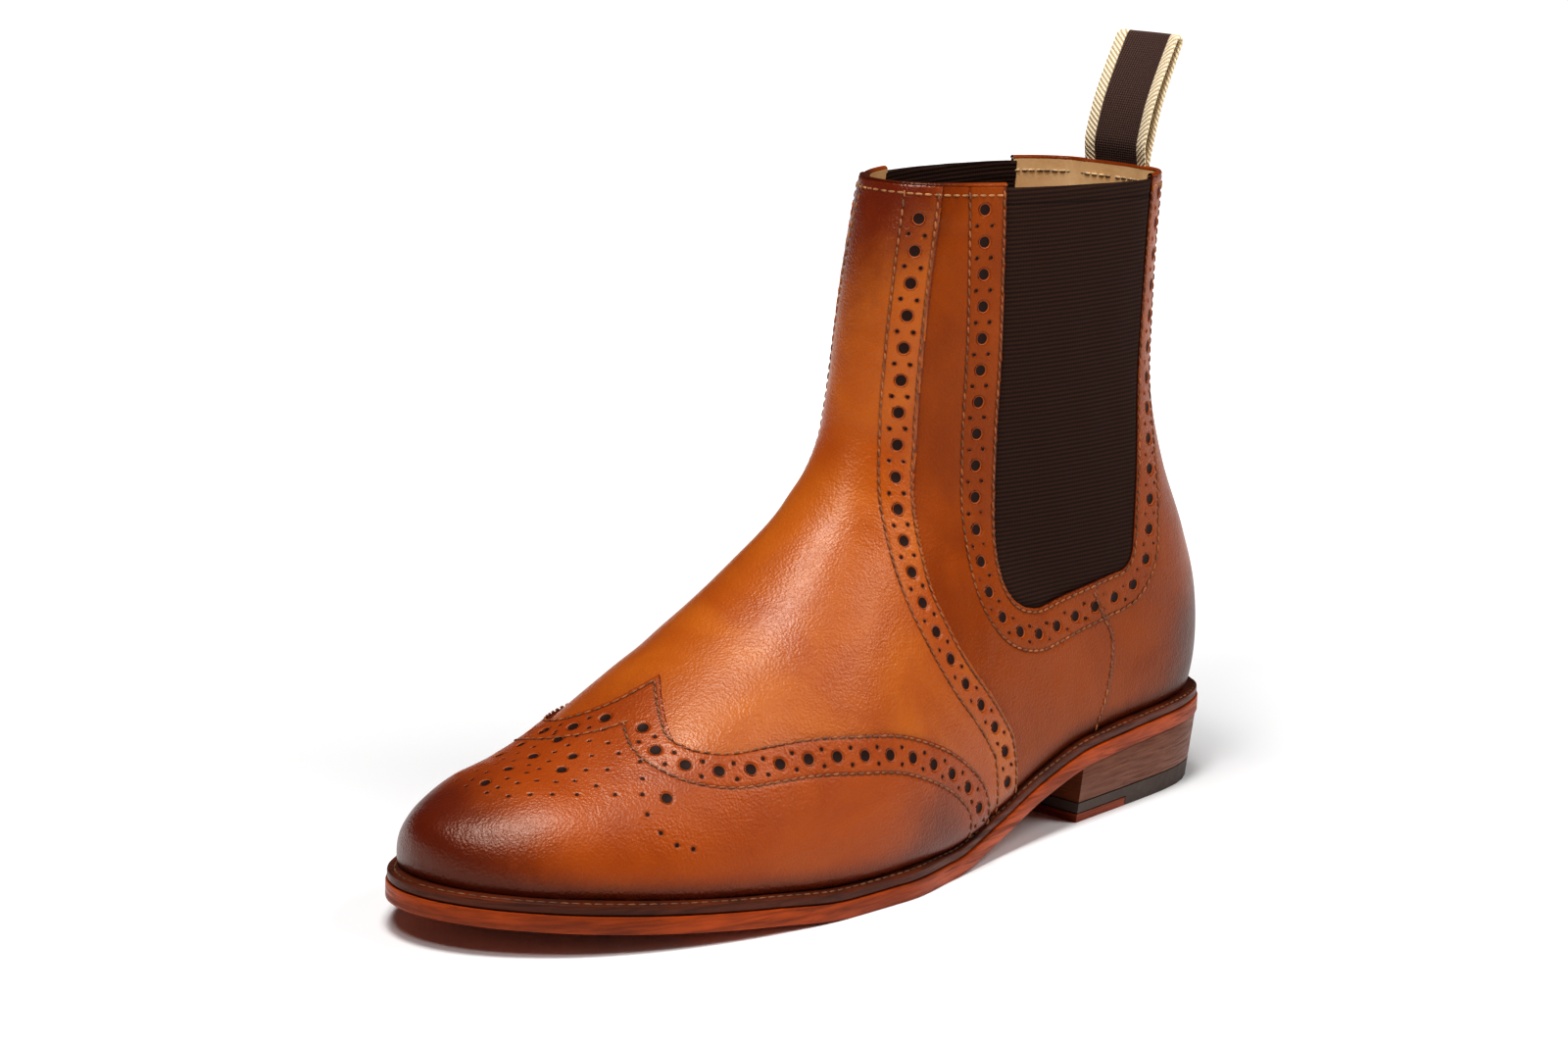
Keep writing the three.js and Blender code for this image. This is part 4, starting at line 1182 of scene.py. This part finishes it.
def front_quarters():
    """They reach back to the seam below the gore, and to its middle above."""

    def behind_vamp(p):
        return QUARTER_UNDER_VAMP - in_vamp(p)

    def front_part(p):
        above = np.minimum(p[:, 0] - GORE_MIDDLE, 5.0)
        return np.where(beside_gore(p), above, ahead_of_seam(p))

    fields = (behind_vamp, outside_gore, front_part)
    sheet = panel(QUARTER_FACE, 11.0, SKIN_END, 0.95, 330, *fields)
    rows = gore_rows + seam_rows
    leather("front_quarters", sheet, quarter_shaded_finish, gore_holes, rows, QUARTER_FACE)


def back_quarter():
    def back_part(p):
        above = np.minimum(GORE_MIDDLE - p[:, 0], 5.0)
        return np.where(beside_gore(p), above, BACK_UNDER_FRONT - ahead_of_seam(p))

    sheet = panel(BACK_FACE, LEG_START, SKIN_END, 0.95, 330, outside_gore, back_part)
    leather("back_quarter", sheet, quarter_shaded_finish, gore_holes, gore_rows, BACK_FACE)


def wing_cap():
    sheet = panel(CAP_FACE, 0.0, 15.2, 0.72, 360, in_cap)
    leather("wing_cap_leather", sheet, cap_finish, cap_holes, cap_rows, CAP_FACE, ["wing_cap"])


def loop_bulge(points):
    """How far the lining stands off over the pull loop's ends."""
    across = np.abs(points[:, 1] - LOOP_SHIFT)
    side = 1 - smooth(across, LOOP_WIDTH / 2, LOOP_WIDTH / 2 + 6)
    low = COLLAR_FRONT - COLLAR_DROP - LOOP_TAIL
    return LOOP_BULGE * side * smooth(points[:, 2], low - 7, low + 1) * (points[:, 0] < 70)


def lining():
    def outside_wide_gore(p):
        return -in_gore(p, 0.6)

    sheet = panel(LINING_FACE, LEG_START, SKIN_END, 1.6, 180, outside_wide_gore)
    points = sheet.points - sheet.normal * loop_bulge(sheet.points)[:, None]
    build("lining", points, sheet.faces[:, ::-1], lining_finish, 60)


def collar_places():
    """Places where the surface meets the collar's top, all the way round."""
    angles = np.linspace(-np.pi, np.pi, 721)[:-1]
    low, high = np.full(len(angles), 15.0), np.full(len(angles), float(LAST))
    for _ in range(30):
        middle = (low + high) / 2
        under = under_collar(surface(middle, angles)) > 0
        low, high = np.where(under, middle, low), np.where(under, high, middle)
    return np.stack([low, angles], 1)


def collar_fold():
    """The leather's folded top edge, from the outer face over to the lining."""
    places = collar_places()
    base, normal = surface(*places.T), normals(*places.T)
    outer = base + normal * (leather_face(base) - 0.05)[:, None]
    inner = base + normal * (LINING_FACE + 0.05)
    inner -= normal * loop_bulge(inner)[:, None]
    rows = []
    for turn in np.linspace(0, np.pi, 9):
        share = (1 - math.cos(turn)) / 2
        lift = [0, 0, FOLD_HEIGHT * math.sin(turn)]
        rows.append(outer * (1 - share) + inner * share + lift)
    points = np.stack(rows, 1).reshape(-1, 3)
    grid = np.arange(len(points)).reshape(-1, len(rows)).T
    leather_there = in_gore(base) < 0
    shown = np.tile(leather_there & np.roll(leather_there, -1), len(rows) - 1)
    fields = {
        "hole": np.full(len(points), NO_HOLE),
        "thread": np.full(len(points), NO_THREAD),
        "polish_and_shade": np.clip(polish_and_painted_shade(points) + 0.25, 0, 1),
    }
    faces = quads(closed(grid))[shown]
    build("collar_fold", points, faces, quarter_shaded_finish, 60, fields)


def gores():
    def drop(p):
        return collar_height(p[:, 0]) - GORE_TRIM - p[:, 2]

    for side, name in ((1, "left"), (-1, "right")):
        sheet = skin(GORE_FACE, LEG_START, LAST - 0.2, 1.0, 300)
        sheet = sheet.keep(in_gore(sheet.points, -1.0))
        sheet = sheet.keep(sheet.points[:, 1] * side)
        sheet = sheet.keep(drop(sheet.points))
        p = sheet.points
        wave = 0.12 * np.sin(p[:, 0] * 0.35) * np.sin(p[:, 2] * 0.11 + side)
        hem = -0.22 * hump(drop(p), HEM_DROP, 0.5)
        tuck = -0.6 * (1 - smooth(in_gore(p), -0.5, 2.0))
        sheet.points = p + sheet.normal * (wave + hem + tuck)[:, None]
        slab = sheet.thick(GORE_THICKNESS, 0.3)
        q = slab.points
        fields = {"rise": q[:, 2] + 0.02 * q[:, 0], "drop": drop(q)}
        node = f"elastic_gore_{name}"
        build(f"gore_{name}", q, slab.faces, elastic, 60, fields, [node])


# The pull loop
def collar_curve(y):
    """How far forward the collar's back lies at a distance from its middle."""
    row = sections_at(np.array([LAST - 1.0]))[0]
    half = row[4] - VAMP_STEP - LOOP_COVER
    depth = row[6] * (row[0] - row[2])
    return depth * (1 - (1 - np.abs(y / half) ** row[8]) ** (1 / row[8]))


def loop_path():
    """The webbing's middle line from the side, up its rear strand and down the front one."""
    foot = surface(LAST - 1.0, np.pi)[0] + VAMP_STEP + LOOP_COVER + GAP
    collar = COLLAR_FRONT - COLLAR_DROP
    leans_and_rises = [
        (0, -LOOP_TAIL), (0.03, 0), (0.14, LOOP_HEIGHT * 0.2), (0.4, LOOP_HEIGHT * 0.52),
        (1, LOOP_HEIGHT),
    ]
    knots = [[foot - LOOP_LEAN * lean, collar + rise] for lean, rise in leans_and_rises]
    middle = spline(knots, LOOP_STEPS)
    tangent = unit(np.gradient(middle, axis=0))
    across = np.stack([tangent[:, 1], -tangent[:, 0]], 1)
    s = np.linspace(0, 1, LOOP_STEPS + 1)
    spread = LOOP_GAP * np.sqrt(np.sin(np.pi * np.minimum(0.98, 0.04 + 0.9 * s)))
    spread *= smooth(s, 0.18, 0.5)
    rear = middle + across * LOOP_WEBBING / 2
    front = middle + across * (LOOP_WEBBING * 1.5 + spread)[:, None]
    end = int(LOOP_STEPS * 0.955)
    side = (rear[end] - front[end]) / 2
    top = tangent[end] * np.linalg.norm(side)
    turns = np.linspace(0, np.pi, 14)[1:-1, None]
    arc = (rear[end] + front[end]) / 2 + np.cos(turns) * side + np.sin(turns) * top
    return np.concatenate([rear[: end + 1], arc, front[: end + 1][::-1]])


def pull_loop():
    path = loop_path()
    direction = unit(np.gradient(path, axis=0))
    out = np.stack([-direction[:, 1], direction[:, 0]], 1)
    columns = np.linspace(-LOOP_WIDTH / 2, LOOP_WIDTH / 2, 41)
    edge = LOOP_WIDTH / 2 - np.abs(columns)
    swell = 0.22 * hump(edge, 1.9, 1.4) - 0.45 * hump(edge, 0, 0.45)
    half = (LOOP_WEBBING / 2 + swell)[:, None]
    y = columns + LOOP_SHIFT
    both = [path[:, None] + face * out[:, None] * half for face in (1, -1)]
    spots = np.array(both)
    shape = spots.shape[:3]
    x = spots[..., 0] + collar_curve(y)
    points = np.stack([x, np.broadcast_to(y, shape), spots[..., 1]], -1).reshape(-1, 3)
    grid = np.arange(len(points)).reshape(shape)
    faces = [quads(grid[0])[:, [0, 3, 2, 1]], quads(grid[1])[:, [1, 2, 3, 0]]]
    faces += [quads(grid[:, :, 0].T), quads(grid[:, :, -1].T)[:, ::-1]]
    faces += [quads(grid[:, 0]), quads(grid[:, -1])[:, ::-1]]
    fields = {
        "across": np.broadcast_to(columns, shape).ravel(),
        "run": np.broadcast_to(run_along(path)[:, None], shape).ravel(),
    }
    faces = np.concatenate(faces)
    build("webbing_loop", points, faces, webbing, 60, fields, ["pull_loop"])


# The sole
def half_turn(along):
    return np.arccos(1 - 2 * np.asarray(along, float))


OUTLINE = [[a, l * HEEL_WIDTH, r * HEEL_WIDTH] for a, l, r in HEEL_OUTLINE]
OUTLINE += [[a, l * BALL_WIDTH, r * BALL_WIDTH] for a, l, r in BALL_OUTLINE]
left_edge = smooth_curve([[float(half_turn(a)), l] for a, l, _ in OUTLINE])
right_edge = smooth_curve([[float(half_turn(a)), r] for a, _, r in OUTLINE])


def outline(turn, side):
    """The sole's edge on one side, from the heel at 0 to the toe at a half turn."""
    x = SOLE_LENGTH * (1 - np.cos(turn)) / 2
    return np.stack([x, left_edge(turn) if side > 0 else -right_edge(turn)], -1)


def inset_line(turn, side, inset, height):
    """Points that lie inwards of the sole's edge."""
    step = 0.01
    ahead, behind = np.minimum(turn + step, np.pi), np.maximum(turn - step, 0)
    d = unit(outline(ahead, side) - outline(behind, side))
    inward = np.stack([side * d[:, 1], -side * d[:, 0]], 1)
    inward[turn < step] = [1, 0]
    inward[turn > np.pi - step] = [-1, 0]
    spots = outline(turn, side) + inward * np.broadcast_to(inset, turn.shape)[:, None]
    return np.concatenate([spots, height[:, None]], 1)


def welt_ledge(x):
    return WELT_LEDGE_HEEL + (WELT_LEDGE_BALL - WELT_LEDGE_HEEL) * smooth(
        x, HEEL_LENGTH, SOLE_LENGTH * 0.6
    )


def sole_slab(piece, node, finish, top, bottom, inset, end, stations, soft_top, soft_low):
    """A closed slab with the sole's outline and softened edges."""
    turns = np.linspace(0, end, stations + 1)
    sides = []
    for side in (1, -1):
        x = outline(turns, side)[:, 0]
        high, low = top(x), bottom(x)
        middle = (high + low) / 2
        profile = []
        for share in (0.0, 0.35, 1.0):
            bow = 1 - math.sqrt(1 - (1 - share) ** 2)
            profile.append((inset(high) + soft_top * bow, high - soft_top * share))
        profile.append((inset(middle), middle))
        for share in (1.0, 0.35, 0.0):
            bow = 1 - math.sqrt(1 - (1 - share) ** 2)
            profile.append((inset(low) + soft_low * bow, low + soft_low * share))
        sides.append([inset_line(turns, side, extra, height) for extra, height in profile])
    ring = np.stack(sides[0] + sides[1][::-1], 1)
    width = ring.shape[1]
    points = ring.reshape(-1, 3)
    grid = np.arange(len(points)).reshape(-1, width)
    heel, toe = (triangles(quads(np.stack([r, r[::-1]])[:, : width // 2])) for r in grid[[0, -1]])
    faces = np.concatenate([triangles(quads(closed(grid))), heel[:, ::-1], toe])
    sheet = Sheet(points, np.zeros_like(points), faces).tidy()
    build(piece, sheet.points, sheet.faces, finish, 35, None, [node])


def welt():
    """The welt: a softened outer edge, a wheeled top and a groove for its thread."""
    turn = np.linspace(0, np.pi, 521)
    sides = []
    for side, order in ((1, turn), (-1, turn[::-1][1:-1])):
        x = outline(order, side)[:, 0]
        top, low, ledge = welt_top(x), welt_under(x), welt_ledge(x)
        seam = ledge * WELT_SEAM
        inner = ledge + VAMP_STEP + UPPER_WALL
        wheel = 0.05 * np.sin(x * 2.6)
        profile = [
            (inner, low), (inner, top), (ledge + 0.6, top), (seam + 0.5, top + wheel),
            (seam, top - 0.22), (seam - 0.5, top + wheel),
            (WELT_SETBACK + 0.45, top + wheel * 0.5), (WELT_SETBACK + 0.1, top - 0.2),
            (WELT_SETBACK, top - 0.55), (WELT_SETBACK, low + 0.5), (WELT_SETBACK + 0.3, low),
        ]
        sides.append(np.stack([inset_line(order, side, i, h) for i, h in profile], 1))
    ring = np.concatenate(sides)
    grid = np.arange(ring.shape[0] * ring.shape[1]).reshape(ring.shape[:2])
    faces = quads(closed(closed(grid).T).T)[:, ::-1]
    points = ring.reshape(-1, 3)
    build("welt_strip", points, faces, welt_finish, 40, None, ["welt"])


def sole_parts():
    def no_inset(height):
        return np.zeros_like(height)

    def heel_inset(height):
        return WELT_SETBACK + HEEL_TAPER * (1 - height / HEEL_HEIGHT)

    def stack_top(x):
        return outsole_under(x) - GAP

    def stack_under(x):
        return np.full_like(x, TOP_PIECE + RUBBER_LIFT + GAP)

    heel_end = float(half_turn(HEEL_LENGTH / SOLE_LENGTH))
    sole_slab(
        "outsole_leather", "outsole", outsole_finish,
        outsole_top, outsole_under, no_inset, np.pi, 240, 0.3, 0.35,
    )
    sole_slab(
        "heel_lifts", "heel_stack", stack_finish,
        stack_top, stack_under, heel_inset, heel_end, 110, 0.15, 0.2,
    )


# Small shapes set many times: holes as shallow cups, stitches as spindles of thread
def lathe(profile, around):
    """Rings of points round the third axis, from pairs of radius and height."""
    turn = np.linspace(0, 2 * np.pi, around, endpoint=False)
    rings = [
        np.stack([wide * np.cos(turn), wide * np.sin(turn), np.full(around, high)], 1)
        for wide, high in profile
    ]
    return np.concatenate(rings), np.arange(len(profile) * around).reshape(-1, around)


def scatter(name, shape, faces, centre, axes, sizes, finish, angle, fields):
    """One mesh of copies of a shape, each with its own centre, axes and sizes."""
    points = centre[:, None]
    for k in range(3):
        points = points + axes[k][:, None] * (shape[None, :, k : k + 1] * sizes[k])
    numbers = faces[None] + (np.arange(len(centre)) * len(shape))[:, None, None]
    build(name, points.reshape(-1, 3), numbers.reshape(-1, 3), finish, angle, fields)


def punched(name, holes, offset=0.0):
    """A cup in each hole: lip, wall and floor, closed underneath, darkened inside with painted
    shade.
    """
    around = 16
    shape, grid = lathe([(1.0, 0.06), (0.86, -0.14), (0.78, -0.2), (0.9, -0.6)], around)
    floor, under = len(shape), len(shape) + 1
    shape = np.concatenate([shape, [[0, 0, -0.22], [0, 0, -0.6]]])
    walls = triangles(quads(closed(grid[[3, 0, 1, 2]])))
    ends = [fan(grid[2], floor), fan(grid[3], under)[:, [1, 0, 2]]]
    # painted shade on each ring of the cup: none at the lip, most on the lower wall and the floor
    dark = np.concatenate([np.repeat([0.0, 0.7, 1.0, 1.0], around), [1.0, 1.0]])
    normal = holes[:, 4:7]
    first = unit(np.cross(normal, [0.0, 0.3, 1.0]))
    centre = holes[:, :3] + normal * np.reshape(offset, (-1, 1))
    radius = holes[:, 3][:, None, None]
    deep = np.where(radius > 1.2, 1.0, 0.55)
    axes, sizes = (first, np.cross(normal, first), normal), (radius, radius, deep)
    faces, fields = np.concatenate([walls, *ends]), {"dark": np.tile(dark, len(holes))}
    scatter(name, shape, faces, centre, axes, sizes, hole_finish, 30, fields)


def stitches(name, spots, finish, slot, length=STITCH_LENGTH, radius=STITCH_RADIUS):
    """spots: centres, directions and outward normals of the stitches of each row."""
    around = 6
    profile = [(0.35, -0.5), (0.9, -0.3), (1.0, 0.0), (0.9, 0.3), (0.35, 0.5)]
    shape, grid = lathe(profile, around)
    end = np.array([[0, k, k + 1] for k in range(1, around - 1)])
    faces = np.concatenate([triangles(quads(closed(grid))), end[:, ::-1], end + grid[-1][0]])
    centre, along, out = (np.concatenate(column) for column in zip(*spots))
    along = unit(along)
    across = unit(np.cross(out, along))
    axes, sizes = (across, np.cross(along, across), along), (radius, radius, length)
    scatter(name, shape, faces, centre, axes, sizes, finish, 60, None)


def on_row(path, offset):
    row = even_steps(path, STITCH_PITCH)
    points, normal = surface(*row.T), normals(*row.T)
    along = unit(np.gradient(points, axis=0))
    along = unit(along + np.cross(normal, along) * 0.12)
    inside = points[:, 2] < collar_height(points[:, 0]) - 1.2
    inside &= points[:, 2] > welt_top(points[:, 0]) + 0.4
    return (points + normal * (offset + 0.02))[inside], along[inside], normal[inside]


def on_gore_row(path):
    """Stitches beside a gore, which step down where the back quarter starts."""
    points, along, normal = on_row(path, QUARTER_FACE)
    return points - normal * (SEAM_STEP * is_behind(points))[:, None], along, normal


def upper_threads():
    spots = [on_row(path, VAMP_FACE) for path in vamp_rows]
    spots += [on_gore_row(path) for path in gore_rows]
    spots += [on_row(path, CAP_FACE) for path in cap_rows]
    spots += [on_row(path, QUARTER_FACE) for path in seam_rows]
    stitches("panel_stitches", spots, thread_brown, "tan_leather")


def collar_row(below, inside):
    """Stitches round the collar, on the outer leather or on the lining."""
    places = collar_places()
    row = settle(surface(*places.T) - [0, 0, below], places)
    points, normal = surface(*row.T), normals(*row.T)
    lift = leather_face(points) + 0.05
    if inside:
        points = points - normal * loop_bulge(points)[:, None]
        lift = np.full(len(points), LINING_FACE - 0.12)
    run = run_along(points)
    pick = np.searchsorted(run, np.arange(1.0, run[-1], STITCH_PITCH))
    pick = pick[in_gore(points[pick], -1.2) < 0]
    along = np.roll(points, -1, axis=0) - np.roll(points, 1, axis=0)
    out = -normal if inside else normal
    return (points + normal * lift[:, None])[pick], along[pick], out[pick]


def collar_threads():
    outer, inner = collar_row(COLLAR_STITCH, False), collar_row(LINING_STITCH, True)
    stitches("collar_stitches", [outer], thread_light, "tan_leather")
    stitches("lining_stitches", [inner], thread_cream, "insole_leather")


def welt_threads():
    spots = []
    for side in (1, -1):
        turn = np.linspace(0.25, np.pi - 0.01, 900)
        inset = welt_ledge(outline(turn, side)[:, 0]) * WELT_SEAM
        points = inset_line(turn, side, inset, turn)
        points[:, 2] = welt_top(points[:, 0]) - 0.05
        run = run_along(points)
        points = resampled(points, run, np.arange(1.0, run[-1], WELT_STITCH_PITCH))
        up = np.tile([0.0, 0.0, 1.0], (len(points), 1))
        spots.append((points, np.gradient(points, axis=0), up))
    sizes = (WELT_STITCH_LENGTH, WELT_STITCH_RADIUS)
    stitches("welt_stitches", spots, thread_welt, "welt_leather", *sizes)


vamp()
front_quarters()
back_quarter()
wing_cap()
lining()
collar_fold()
gores()
pull_loop()
welt()
sole_parts()
punched("vamp_holes", vamp_holes)
punched("gore_holes", gore_holes, -SEAM_STEP * is_behind(gore_holes))
punched("cap_holes", cap_holes)
upper_threads()
collar_threads()
welt_threads()

# Nodes that stay as packed and only take a finish
for node, finish in (
    ("insole", insole_finish),
    ("heel_rubber", rubber_finish),
    ("heel_leather_tip", tip_finish),
):
    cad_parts[node].data.materials.clear()
    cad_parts[node].data.materials.append(finish)


# Floor, light and camera
def floor():
    """A pale floor that glows with distance, so that it runs into the white background."""
    finish = Finish("studio_floor", Roughness=0.6, Base_Color=(0.92, 0.92, 0.92, 1))
    away = finish.add("ShaderNodeVectorMath", {0: finish.spot}, operation="LENGTH")
    glow = finish.ramp(away.outputs["Value"], 0.2, 0.95, 0.0, 0.9)
    finish.shade(Emission_Color=(1, 1, 1, 1), Emission_Strength=glow)
    mesh = bpy.data.meshes.new("floor")
    corners = [(-20, -20, 0), (20, -20, 0), (20, 20, 0), (-20, 20, 0)]
    mesh.from_pydata(corners, [], [(0, 1, 2, 3)])
    mesh.materials.append(finish.material)
    obj = bpy.data.objects.new("floor", mesh)
    bpy.context.scene.collection.objects.link(obj)


def background():
    bpy.context.scene.view_settings.view_transform = "Standard"
    bpy.context.scene.view_settings.look = "Medium High Contrast"
    world = bpy.data.worlds.new("studio")
    world.use_nodes = True
    inputs = world.node_tree.nodes["Background"].inputs
    inputs["Color"].default_value = (1, 1, 1, 1)
    inputs["Strength"].default_value = 0.05
    bpy.context.scene.world = world


def softbox(name, spot, target, width, height, power):
    light = bpy.data.lights.new(name, "AREA")
    light.shape = "RECTANGLE"
    light.size, light.size_y = width, height
    light.energy = power
    obj = bpy.data.objects.new(name, light)
    obj.location = spot
    obj.rotation_mode = "QUATERNION"
    obj.rotation_quaternion = (Vector(spot) - Vector(target)).to_track_quat("Z", "Y")
    bpy.context.scene.collection.objects.link(obj)


AZIMUTH, ELEVATION, ROLL = math.radians(43.5), math.radians(11.77), math.radians(1.87)
DISTANCE = 1.11922
TARGET = (-0.02305, -0.00027, 0.09044)


def photo_camera():
    ca, sa = math.cos(AZIMUTH), math.sin(AZIMUTH)
    ce, se = math.cos(ELEVATION), math.sin(ELEVATION)
    back = Vector((sa * ce, -ca * ce, se))
    right = Vector((0, 0, 1)).cross(back).normalized()
    up = back.cross(right)
    rolled_right = right * math.cos(ROLL) + up * math.sin(ROLL)
    rolled_up = up * math.cos(ROLL) - right * math.sin(ROLL)
    data = bpy.data.cameras.new("camera")
    data.lens, data.sensor_width = 90, 36
    data.clip_start, data.clip_end = 0.05, 20
    camera = bpy.data.objects.new("camera", data)
    matrix = Matrix((rolled_right, rolled_up, back)).transposed().to_4x4()
    matrix.translation = Vector(TARGET) + back * DISTANCE
    camera.matrix_world = matrix
    bpy.context.scene.collection.objects.link(camera)
    bpy.context.scene.camera = camera


floor()
background()
softbox("top_light", (0.1, -0.3, 1.5), (0, 0, 0.08), 0.5, 0.5, 17)
softbox("front_light", (0.36, -0.9, 1.4), (0, 0, 0.08), 0.3, 0.3, 6)
softbox("back_light", (0.75, 0.6, 1.1), (0, 0, 0.08), 0.6, 0.6, 7)
softbox("side_light", (1.15, 0.5, 0.45), (0, 0.05, 0.08), 0.16, 0.7, 0.8)
photo_camera()
